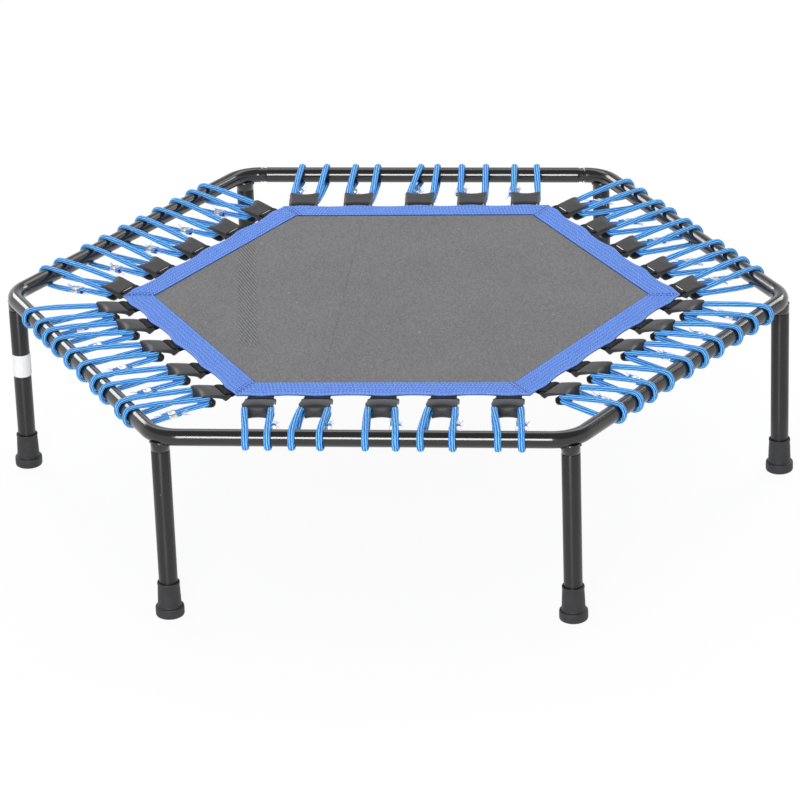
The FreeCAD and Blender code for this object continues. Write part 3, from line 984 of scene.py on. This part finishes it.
def edge_band(materials):
    """Blue webbing folded over the mat's edge on all six sides, mitred at the corners."""
    skin = Skin()
    stations = [2 * i / BAND_STATIONS - 1 for i in range(BAND_STATIONS + 1)]
    sections = [(share, band_section(share)) for share in stations]
    alongs = [share * MAT_APOTHEM * TAN_30 for share in stations]
    acrosses = [WEBBING_WIDTH * j / BAND_COLUMNS for j in range(BAND_COLUMNS + 1)]
    # The lower fold, the underside and the slot read 0 across, which the webbing's colour turns
    # into painted shade
    acrosses += [WEBBING_WIDTH] * 2 + [0.0] * 14
    for outward, rings in SIDES.values():
        places = hook_places(rings)
        rows = []
        for share, section in sections:
            reach = share * TAN_30
            rows.append([edge_point(n, reach * n, z, outward, places) for n, z in section])
        skin.grid(rows, alongs, acrosses)
    piece = hang(skin.piece("edge_band"))
    dress(piece, materials["blue"], "mat", ["edge_webbing"])


# Stitching

STITCH_SIZES = ("Pitch", "Stitch Length", "Thread Radius")
LIGHT_STITCH = (0.0054, 0.0029, 0.0005)
DARK_STITCH = (0.0052, 0.0038, 0.0006)
ROW_STEPS = 60
ROW_END = 0.002
ROW_LIFT = 0.00008
MITRE_STEPS = 12
MITRE_END = 0.003
MITRE_OFFSETS = (0.003, 0.010)
MITRE_LIFT = 0.0001


def stitch_tree(name, material):
    """Geometry nodes that lay one stitch after another along the rows they are given."""
    labels = ("Geometry", *STITCH_SIZES)
    tree, w, given, result = new_group(name, labels, ("Geometry",), "GeometryNodeTree")
    curve = w.node("GeometryNodeMeshToCurve", {"Mesh": given["Geometry"]}).outputs["Curve"]
    feeds = {"Curve": curve, "Length": given["Pitch"]}
    spaced = w.node("GeometryNodeResampleCurve", feeds, mode="LENGTH")
    stitch = w.node("GeometryNodeMeshIcoSphere", {"Radius": 1.0, "Subdivisions": 1})
    feeds = {"Vector": w.node("GeometryNodeInputTangent").outputs["Tangent"]}
    turn = w.node("FunctionNodeAlignRotationToVector", feeds, axis="X")
    radius = given["Thread Radius"]
    feeds = {"X": w.times(given["Stitch Length"], 0.5), "Y": radius, "Z": radius}
    size = w.node("CombineXYZ", feeds)
    feeds = {
        "Points": spaced.outputs["Curve"],
        "Instance": stitch.outputs["Mesh"],
        "Rotation": turn.outputs["Rotation"],
        "Scale": size.outputs[0],
    }
    laid = w.node("GeometryNodeInstanceOnPoints", feeds).outputs["Instances"]
    real = w.node("GeometryNodeRealizeInstances", {"Geometry": laid}).outputs["Geometry"]
    feeds = {"Geometry": real, "Material": material}
    painted = w.node("GeometryNodeSetMaterial", feeds)
    w.feed(result["Geometry"], painted.outputs["Geometry"])
    return tree


def stitched(name, rows, material, sizes):
    """Lays stitches along rows of points on the mat's edge; sizes follow STITCH_SIZES."""
    points = []
    edges = []
    for row in rows:
        start = len(points)
        points += [tuple(p) for p in row]
        edges += [(start + k, start + k + 1) for k in range(len(row) - 1)]
    mesh = bpy.data.meshes.new(name)
    mesh.from_pydata(points, edges, [])
    piece = new_object(name, mesh)
    modifier = piece.modifiers.new("stitches", "NODES")
    modifier.node_group = stitch_tree(name, material)
    for item in modifier.node_group.interface.items_tree:
        if item.name in STITCH_SIZES:
            modifier[item.identifier] = sizes[STITCH_SIZES.index(item.name)]
    hang(apply_modifiers(piece))
    dress(piece, material, "mat")


def band_stitching(materials):
    """Rows of light thread along every side, and a dark diagonal pair across each mitre."""
    rows = []
    mitres = []
    for outward, rings in SIDES.values():
        places = hook_places(rings)
        for inset in STITCH_ROWS:
            n = MAT_APOTHEM - inset
            row = []
            for k in range(ROW_STEPS + 1):
                t = (2 * k / ROW_STEPS - 1) * (n * TAN_30 - ROW_END)
                z = band_height(n, t) + ROW_LIFT
                row.append(edge_point(n, t, z, outward, places))
            rows.append(row)
        for offset in MITRE_OFFSETS:
            row = []
            for k in range(MITRE_STEPS + 1):
                run = (WEBBING_WIDTH - 2 * MITRE_END) * k / MITRE_STEPS
                n = MAT_APOTHEM - MITRE_END - run
                t = n * TAN_30 - offset
                z = MAT_Z + band_height(n, t) + MITRE_LIFT
                row.append(turned((n, t, z), outward))
            mitres.append(row)
    stitched("edge_stitching", rows, materials["thread"], LIGHT_STITCH)
    stitched("mitre_stitching", mitres, materials["dark thread"], DARK_STITCH)


# Hooks


def seat(u, v, w, along):
    """A point of a hook's own frame, on the side that faces +X."""
    x = HOOK_START + u * math.cos(HOOK_TILT) - w * math.sin(HOOK_TILT)
    z = MAT_Z - HOOK_DROP + u * math.sin(HOOK_TILT) + w * math.cos(HOOK_TILT)
    return Vector((x, along + v, z))


# Stations along the hook's folded sheet, in millimetres: along, height, half width, depth
# of the turned-down side, outward sweep of the sides, thickness, and how far the middle is
# raised above the sides
HOOK_STATIONS = (
    (0.2, -0.5, 21.8, 0.3, 0.0, 1.8, 0.2),
    (1.0, -0.2, 23.2, 1.2, 0.0, 2.8, 0.3),
    (3.4, -0.1, 23.9, 2.6, 0.0, 3.2, 0.4),
    (6.0, -0.1, 24.0, 5.2, 0.0, 3.2, 0.4),
    (8.4, -0.1, 24.0, 7.4, 0.0, 3.2, 0.4),
    (12.0, -0.1, 24.0, 5.0, 0.0, 3.2, 0.6),
    (14.5, -0.1, 24.0, 3.4, 0.0, 3.1, 1.0),
    (19.0, -0.2, 24.0, 2.6, 0.0, 3.0, 1.4),
    (26.0, -0.3, 24.0, 2.2, 0.0, 3.0, 1.5),
    (31.0, -0.3, 24.0, 1.7, 0.4, 3.0, 1.4),
    (35.0, -0.4, 24.0, 1.2, 1.8, 2.8, 1.1),
    (38.5, -0.8, 24.0, 0.8, 4.4, 2.6, 0.6),
    (41.2, -2.2, 23.2, 0.5, 6.6, 2.6, 0.1),
    (43.0, -4.2, 18.6, 0.2, 5.0, 2.8, 0.0),
    (43.9, -7.0, 14.6, 0.0, 1.4, 3.4, 0.0),
    (44.0, -10.0, 13.4, 0.0, 0.2, 3.8, 0.0),
    (44.0, -14.0, 13.1, 0.0, 0.0, 3.8, 0.0),
    (44.0, -17.5, 13.5, 0.0, 0.0, 3.8, 0.4),
    (43.9, -20.0, 14.3, 0.0, 0.0, 3.2, 2.6),
    (42.5, -21.0, 14.7, 0.0, 0.0, 2.8, 2.4),
    (39.5, -20.3, 15.6, 0.0, 0.0, 2.6, 0.8),
    (35.0, -19.9, 16.4, 0.0, 0.0, 2.6, 0.1),
    (30.0, -19.8, 16.4, 0.0, 0.0, 2.6, 0.0),
    (26.0, -19.6, 16.2, 0.0, 0.0, 2.6, 0.0),
    (22.6, -19.0, 15.2, 0.0, 0.0, 2.8, 0.0),
    (20.6, -17.0, 13.8, 0.0, 0.0, 2.8, 0.0),
    (20.2, -13.6, 12.6, 0.0, 0.0, 2.6, 0.0),
    (20.6, -11.0, 11.6, 0.0, 0.0, 1.8, 0.0),
)
HALF_COLUMNS = (0.25, 0.5, 0.7, 0.833, 0.93, 0.985, 1.0)
HOOK_COLUMNS = (*[-c for c in reversed(HALF_COLUMNS)], 0.0, *HALF_COLUMNS)
SLOT_STATIONS = range(3, 5)
SLOT_COLUMNS = range(3, 11)
RIM_SHARE = 0.88
# The small dimple pressed into the outside of the hook's wall
DIMPLE_W = -0.0155
DIMPLE_R = 0.0026
DIMPLE_DEPTH = 0.0009
WALL_FACE_U = 0.0445


def station_rows(skin, index):
    """The outside and inside points of one station of the hook's sheet."""
    u, w, half, edge, outward, thick, crown = HOOK_STATIONS[index]
    before = HOOK_STATIONS[max(0, index - 1)]
    after = HOOK_STATIONS[min(len(HOOK_STATIONS) - 1, index + 1)]
    run = Vector((after[0] - before[0], 0, after[1] - before[1])).normalized()
    out = Vector((-run.z, 0, run.x))
    outside = []
    inside = []
    for column in HOOK_COLUMNS:
        rim = smooth_step(abs(column), RIM_SHARE, 1.0)
        down = edge * rim
        middle = Vector((u + outward * column**2, column * half, w + crown * (1 - column**2)))
        outside.append(skin.verts.new((middle + out * (thick / 2 - down)) * MM))
        tuck = Vector((0, -column * 0.4 * thick * rim, 0)) if edge else Vector()
        inside.append(skin.verts.new((middle + tuck - out * (thick / 2 + down * 0.96)) * MM))
    return outside, inside


def close_border(skin, partner):
    """Walls between the outside and the inside, round the sheet and round its slot."""
    border = {}
    for face in skin.faces:
        for loop in face.loops:
            edge = (loop.vert, loop.link_loop_next.vert)
            border.setdefault(frozenset(edge), []).append(edge)
    for pairs in border.values():
        a, b = pairs[0]
        if len(pairs) == 1 and a in partner and b in partner:
            skin.faces.new((b, a, partner[a], partner[b]))


def hook_mesh():
    """One moulded hook: a sheet that turns down at its outer end and back under."""
    skin = bmesh.new()
    rows = [station_rows(skin, index) for index in range(len(HOOK_STATIONS))]
    for i in range(len(rows) - 1):
        for j in range(len(HOOK_COLUMNS) - 1):
            if i in SLOT_STATIONS and j in SLOT_COLUMNS:
                continue
            for near, far, step in zip(rows[i], rows[i + 1], (1, -1)):
                skin.faces.new((near[j], near[j + 1], far[j + 1], far[j])[::step])
    partner = {a: b for outside, inside in rows for a, b in zip(outside, inside)}
    close_border(skin, partner)
    loose = [v for v in skin.verts if not v.link_faces]
    bmesh.ops.delete(skin, geom=loose, context="VERTS")
    bmesh.ops.recalc_face_normals(skin, faces=skin.faces)
    piece = new_object("hook", mesh_from(skin, "hook"))
    rounding = piece.modifiers.new("rounding", "SUBSURF")
    rounding.levels = 2
    rounding.render_levels = 2
    apply_modifiers(piece)
    for vertex in piece.data.vertices:
        off = math.hypot(vertex.co.y, vertex.co.z - DIMPLE_W)
        if vertex.co.x > WALL_FACE_U and off < DIMPLE_R:
            vertex.co.x -= DIMPLE_DEPTH * (1 - smooth_step(off, 0.0006, 0.0024))
    mesh = piece.data
    bpy.data.objects.remove(piece)
    return mesh


def side_hooks(name, outward, rings, mesh, materials):
    """One side's hooks, each turned to its place on the mat's edge."""
    skin = bmesh.new()
    for along in hook_places(rings):
        start = len(skin.verts)
        skin.from_mesh(mesh)
        skin.verts.ensure_lookup_table()
        for vertex in skin.verts[start:]:
            vertex.co = turned(seat(*vertex.co, along), outward)
    piece = f"moulded_hooks_{name}"
    piece = hang(new_object(piece, mesh_from(skin, piece)))
    dress(piece, materials["nylon"], "mat", [f"hooks_{name}"])


# Straps: shares across them, how thin they are at their edges, how far and over what reach
# the hook's slit bows them, where they are sewn on and how far they stay off their neighbours
STRAP_SHARES = (0.0, 0.03, 0.18, 0.34, 0.5, 0.66, 0.82, 0.97, 1.0)
STRAP_EDGE = 0.6
SLIT_BOW = 0.0022
SLIT_REACH = (0.004, 0.009)
SEWN_FROM_X = 0.3470
SEWN_TO_X = 0.3700
STRAP_GAP = 0.0012
MITRE_CLEAR = 0.0006
STRAP_STEPS = 5


def strap_line():
    """A strap's middle line: from its sewn end, round the hook's bar and back under."""
    over = MAT_Z - FABRIC_THICKNESS / 2 - WEBBING_THICKNESS - STRAP_GAP
    under = over - STRAP_THICKNESS
    around = HALF_PLATE + STRAP_GAP
    route = [
        Vector((SEWN_FROM_X, 0, over)),
        Vector((SEWN_TO_X, 0, over)),
        Vector((MAT_APOTHEM + STRAP_GAP, 0, over + 0.0002)),
        seat(0.0000, 0, around, 0),
        seat(0.0082, 0, around, 0),
        seat(0.0096, 0, 0, 0),
        seat(0.0082, 0, -around, 0),
        seat(-0.0006, 0, -around, 0),
        Vector((SEWN_TO_X, 0, under - 0.0002)),
        Vector((SEWN_FROM_X, 0, under)),
    ]
    return spline(route, STRAP_STEPS)


def strap_row(point, run, along, outward):
    """A strap's outline at a point of its line; it stays clear of the mat's mitres."""
    out = Vector((-run.z, 0, run.x)).normalized() * (STRAP_THICKNESS / 2)
    bend = smooth_step(point.x - HOOK_START, *SLIT_REACH)
    high = min(along + STRAP_HALF, point.x * TAN_30 - MITRE_CLEAR)
    low = max(along - STRAP_HALF, -point.x * TAN_30 + MITRE_CLEAR)
    row = []
    for way in (-1, 1):
        for share in STRAP_SHARES[::-way]:
            y = between(low, high, share)
            lift = STRAP_EDGE if share in (0.0, 1.0) else 1.0
            bow = SLIT_BOW * abs(2 * (y - along) / (high - low)) ** 3 * bend
            place = Vector((point.x + bow, y, point.z)) + out * (way * lift)
            row.append(turned(place, outward))
    return row


def side_straps(name, outward, rings, materials):
    """Black webbing from under the edge, round each hook's bar and back."""
    skin = Skin()
    line = strap_line()
    runs = [b - a for a, b in zip([line[0], *line], [*line[1:], line[-1]])]
    half_map = [2 * STRAP_HALF * share for share in STRAP_SHARES]
    acrosses = [*half_map, *reversed(half_map), 0.0]
    for along in hook_places(rings):
        rows = [strap_row(point, run, along, outward) for point, run in zip(line, runs)]
        skin.tube(rows, distances(line), acrosses)
    piece = hang(skin.piece(f"strap_loops_{name}"))
    dress(piece, materials["black"], "mat", [f"hook_straps_{name}"])


# Elastic rings


def bight(w, along):
    """The four points where a ring passes behind a hook's wall, right to left."""
    inside = HOOK_WALL_U - HALF_WIDE - CORD_GAP
    beside = WAIST_HALF + HALF_WIDE + STRAND_GAP
    step = (HALF_WIDE + CORD_GAP) * (1 - math.tan(EIGHTH_TURN))
    corner_u = inside + step
    corner_v = beside - step
    outline = ((corner_u, beside), (inside, corner_v), (inside, -corner_v), (corner_u, -beside))
    return [seat(u, v, w, along) for u, v in outline]


def wrap(under, over, along):
    """Corner points round the tube, from a strand below it to a strand above it."""
    reach = TUBE_R + PRESSED_HALF_HIGH + CORD_GAP

    def tangent(point, side):
        dx = point.x - APOTHEM
        dz = point.z - RING_Z
        return math.atan2(dz, dx) + side * math.acos(reach / math.hypot(dx, dz))

    low = tangent(under, 1)
    turn = (tangent(over, -1) - low) % (2 * math.pi)
    corner = reach / math.cos(turn / WRAP_CORNERS / 2)
    points = []
    for k in range(WRAP_CORNERS):
        angle = low + turn * (k + 0.5) / WRAP_CORNERS
        x = APOTHEM + corner * math.cos(angle)
        points.append(Vector((x, along, RING_Z + corner * math.sin(angle))))
    return points


def ring_route(along_mat, left_at, right_at, outward):
    """The whole route of one ring, from one tail to the other, and its splice."""
    upper, lower = (
        [hung_point(point, outward) for point in bight(w, along_mat)]
        for w in (UPPER_CORD_W, LOWER_CORD_W)
    )
    hook_at = hung_point(seat(HOOK_WALL_U, 0, 0, along_mat), outward).y
    left = wrap(lower[3], upper[3], hook_at + left_at)
    right = wrap(lower[0], upper[0], hook_at + right_at)
    span = right[0] - lower[0]
    middle = lower[0] + span * SPLICE_AT
    along = span.normalized()
    beside = along.cross(UP).normalized() * (CRIMPED_HALF_WIDE + CORD_GAP / 2)
    ends = (along * TAIL_OVERLAP, along * -TAIL_OVERLAP)
    hook_tail, tube_tail = ([middle + end + way for end in ends] for way in (beside, -beside))
    route = [*hook_tail, *lower, *left, *reversed(upper), *reversed(right), *tube_tail]
    return route, middle, along


def cord_sizes(line, middle):
    """Half width and half height along a cord: pressed on the tube and in its crimp."""
    sizes = []
    for point in line:
        from_tube = math.hypot(point.x - APOTHEM, point.z - RING_Z)
        unpressed = smooth_step(from_tube, *PRESSED_REACH)
        free = smooth_step((point - middle).length, *CRIMPED_REACH)
        high = between(PRESSED_HALF_HIGH, HALF_HIGH, unpressed)
        high = min(high, between(CRIMPED_HALF_HIGH, HALF_HIGH, free))
        sizes.append((between(CRIMPED_HALF_WIDE, SHOWN_HALF_WIDE, free), high))
    return sizes


# A frayed end: how many yarns, each one's half width and half height, how far it starts
# inside the cord, where its elbow is, how far on its tip is, and how it strays at each
YARNS = 10
YARN_SIDES = 5
YARN_SIZE = (0.0005, 0.0004)
YARN_ROOT = 0.002
YARN_ELBOW = 0.005
YARN_TIP = (0.002, 0.005)
YARN_STRAY = (0.0026, 0.0014, 0.003)


def frayed_end(skin, tip, way, chance):
    """A tuft of cut yarn and rubber that sticks out of a cord's end."""
    for _ in range(YARNS):
        bend = Vector([chance.uniform(-1, 1) for _ in range(3)])
        root = tip + bend * YARN_STRAY[0] - way * YARN_ROOT
        elbow = root + way * YARN_ELBOW + bend * YARN_STRAY[1]
        end = elbow + way * chance.uniform(*YARN_TIP) + bend * YARN_STRAY[2]
        sweep(skin, [root, elbow, end], YARN_SIDES, lambda k: YARN_SIZE)


def side_rings(name, outward, rings, materials):
    """One side's elastic rings, their crimps and their frayed ends."""
    chance = random.Random(name)
    cords, metal, yarn = Skin(), Skin(), Skin()
    for along, (_, left_at, right_at) in zip(hook_places(rings), rings):
        route, middle, direction = ring_route(along, left_at * MM, right_at * MM, outward)
        line = spline(route, CORD_STEPS)
        sizes = cord_sizes(line, middle)
        sweep(cords, [turned(p, outward) for p in line], CORD_SIDES, sizes.__getitem__)
        add_crimp(metal, turned(middle, outward), turned(direction, outward))
        for end in (route[0], route[-1]):
            way = turned((end - middle).normalized(), outward)
            frayed_end(yarn, turned(end, outward), way, chance)
    wall = hung_point(seat(HOOK_WALL_U, 0, LOWER_CORD_W, 0), outward).x
    end = turned((wall + 0.004, 0, RING_Z), outward)
    for skin, label, material, slot, nodes in (
        (cords, "elastic_cords", "elastic", "elastic_cord", [f"elastic_rings_{name}"]),
        (metal, "crimps", "steel", "crimp_steel", [f"ring_crimps_{name}"]),
        (yarn, "frayed_ends", "yarn", "elastic_cord", []),
    ):
        piece = dress(skin.piece(f"{label}_{name}"), materials[material], None, nodes)
        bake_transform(piece)


# Half a crimp's outline: share of its half length, and how much wider it is there
HALF_CRIMP = ((0.2, -0.0006), (0.6, 0.0), (0.94, 0.0002), (1.0, -0.0002), (1.0, -0.0011))
CRIMP_STATIONS = (*[(-share, grow) for share, grow in reversed(HALF_CRIMP)], *HALF_CRIMP)
CRIMP_SIDES = 28
CRIMP_HALF_WIDE = 2 * CRIMPED_HALF_WIDE + 0.0010
CRIMP_HALF_HIGH = CRIMPED_HALF_HIGH + 0.0009
CRIMP_SQUARENESS = (0.55, 0.75)


def boxed(value, power):
    """A sine or cosine pushed out, so that the oval it makes nears a box."""
    return math.copysign(abs(value) ** power, value)


def add_crimp(skin, middle, along):
    """A flat sleeve with rounded sides, pressed in at its middle."""
    across = along.cross(UP).normalized()
    upright = across.cross(along)
    rows = []
    for share, grow in CRIMP_STATIONS:
        row = []
        for j in range(CRIMP_SIDES):
            angle = 2 * math.pi * j / CRIMP_SIDES
            x = boxed(math.cos(angle), CRIMP_SQUARENESS[0]) * (CRIMP_HALF_WIDE + grow)
            y = boxed(math.sin(angle), CRIMP_SQUARENESS[1]) * (CRIMP_HALF_HIGH + grow)
            row.append(middle + along * (share * CRIMP_LENGTH / 2) + across * x + upright * y)
        rows.append(row)
    skin.tube(rows, shares(len(rows) - 1), shares(CRIMP_SIDES))


# Studio

WORLD_GLOW = 0.50
CEILING_GLOW = 0.35
CEILING_FROM = (0.25, 0.6)
FLOOR_GLOW = 0.92
FLOOR_SIZE = 60
# Each lamp's place, its width and height, and how bright its face looks
SOFTBOXES = {
    "front softbox": ((-0.6, -6.4, 3.05), (2.0, 2.3), 18.0),
    "back softbox": ((0.0, 2.6, 3.8), (4.5, 1.9), 2.2),
    "left rim softbox": ((-2.6, 2.9, 2.4), (1.6, 1.1), 7.0),
    "right rim softbox": ((2.6, 2.9, 2.4), (1.6, 1.1), 7.0),
}


def seen_directly(w):
    """1 for what the camera sees, straight, mirrored or through glass."""
    path = w.node("LightPath")
    seen = w.math("MAXIMUM", path.outputs["Is Camera Ray"], path.outputs["Is Glossy Ray"])
    return w.math("MAXIMUM", seen, path.outputs["Is Transmission Ray"])


def white_floor():
    """A white floor that keeps the trampoline's soft shadow."""
    bpy.ops.mesh.primitive_plane_add(size=FLOOR_SIZE, location=(0, 0, 0))
    floor = bpy.context.object
    floor.name = "floor"
    w = Surface("white floor", Base_Color=(1, 1, 1, 1), Roughness=0.9, Specular_IOR_Level=0.0)
    glow = w.node("Emission", {"Strength": 1.0}).outputs["Emission"]
    feeds = {0: w.times(seen_directly(w), FLOOR_GLOW), 1: w.shader.outputs["BSDF"], 2: glow}
    w.feed(w.output.inputs["Surface"], w.node("MixShader", feeds).outputs[0])
    floor.data.materials.append(w.material)


def white_world():
    """Soft white surroundings, dimmer overhead where the trampoline mirrors them."""
    world = bpy.data.worlds.new("white studio")
    bpy.context.scene.world = world
    world.use_nodes = True
    w = Wiring(world.node_tree)
    back = w.tree.nodes["Background"].inputs
    height = w.split(w.node("TexCoord").outputs["Generated"])[2]
    mirrored = w.spread(height, *CEILING_FROM, 1.0, CEILING_GLOW)
    strength = w.add(WORLD_GLOW, w.times(seen_directly(w), 1 - WORLD_GLOW))
    glossy = w.node("LightPath").outputs["Is Glossy Ray"]
    ways = w.node("Mix", {0: glossy, 2: strength, 3: mirrored}, data_type="FLOAT")
    w.feed(back["Color"], (1, 1, 1, 1))
    w.feed(back["Strength"], ways.outputs[0])


def softbox(name, place, size, glow):
    """A soft lamp that faces the trampoline; glow is how bright its face looks."""
    lamp = bpy.data.lights.new(name, "AREA")
    lamp.shape = "RECTANGLE"
    lamp.size, lamp.size_y = size
    lamp.energy = glow * math.pi * size[0] * size[1]
    holder = new_object(name, lamp)
    holder.location = place
    holder.rotation_mode = "QUATERNION"
    way = Vector((0, 0, RING_Z)) - Vector(place)
    holder.rotation_quaternion = way.to_track_quat("-Z", "Y")
    holder.visible_camera = False


def photograph_camera():
    """The camera at the photograph's place, with its three turns."""
    level = Vector((math.cos(CAMERA_YAW), math.sin(CAMERA_YAW), 0))
    ahead = Vector((-math.sin(CAMERA_YAW), math.cos(CAMERA_YAW), 0))
    look = ahead * math.cos(CAMERA_PITCH) - UP * math.sin(CAMERA_PITCH)
    over = level.cross(look)
    right = level * math.cos(CAMERA_ROLL) + over * math.sin(CAMERA_ROLL)
    top = over * math.cos(CAMERA_ROLL) - level * math.sin(CAMERA_ROLL)
    data = bpy.data.cameras.new("camera")
    data.sensor_width = SENSOR_WIDTH
    data.lens = FOCAL_PIXELS / FRAME_PIXELS * SENSOR_WIDTH
    data.clip_end = 100
    camera = new_object("camera", data)
    turn = Matrix((right, top, -look)).transposed()
    camera.matrix_world = Matrix.Translation(CAMERA_PLACE) @ turn.to_4x4()
    bpy.context.scene.camera = camera


def main():
    materials = build_materials()
    steel_ring(materials)
    stubs_and_welds(materials)
    for number, corner in CORNERS.items():
        leg_and_foot(number, corner, materials)
    white_wrap(materials)
    mat_sheet(materials)
    edge_band(materials)
    band_stitching(materials)
    hook = hook_mesh()
    for name, (outward, rings) in SIDES.items():
        side_hooks(name, outward, rings, hook, materials)
        side_straps(name, outward, rings, materials)
        side_rings(name, outward, rings, materials)
    white_floor()
    white_world()
    for name, (place, size, glow) in SOFTBOXES.items():
        softbox(name, place, size, glow)
    photograph_camera()
    bpy.context.scene.view_settings.view_transform = "Standard"


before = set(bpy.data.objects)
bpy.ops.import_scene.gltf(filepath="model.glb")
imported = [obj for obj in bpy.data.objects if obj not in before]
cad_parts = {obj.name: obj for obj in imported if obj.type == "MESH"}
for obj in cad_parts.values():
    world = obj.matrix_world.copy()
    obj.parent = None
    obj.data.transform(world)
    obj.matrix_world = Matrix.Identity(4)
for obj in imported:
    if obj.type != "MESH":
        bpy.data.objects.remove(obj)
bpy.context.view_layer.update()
main()
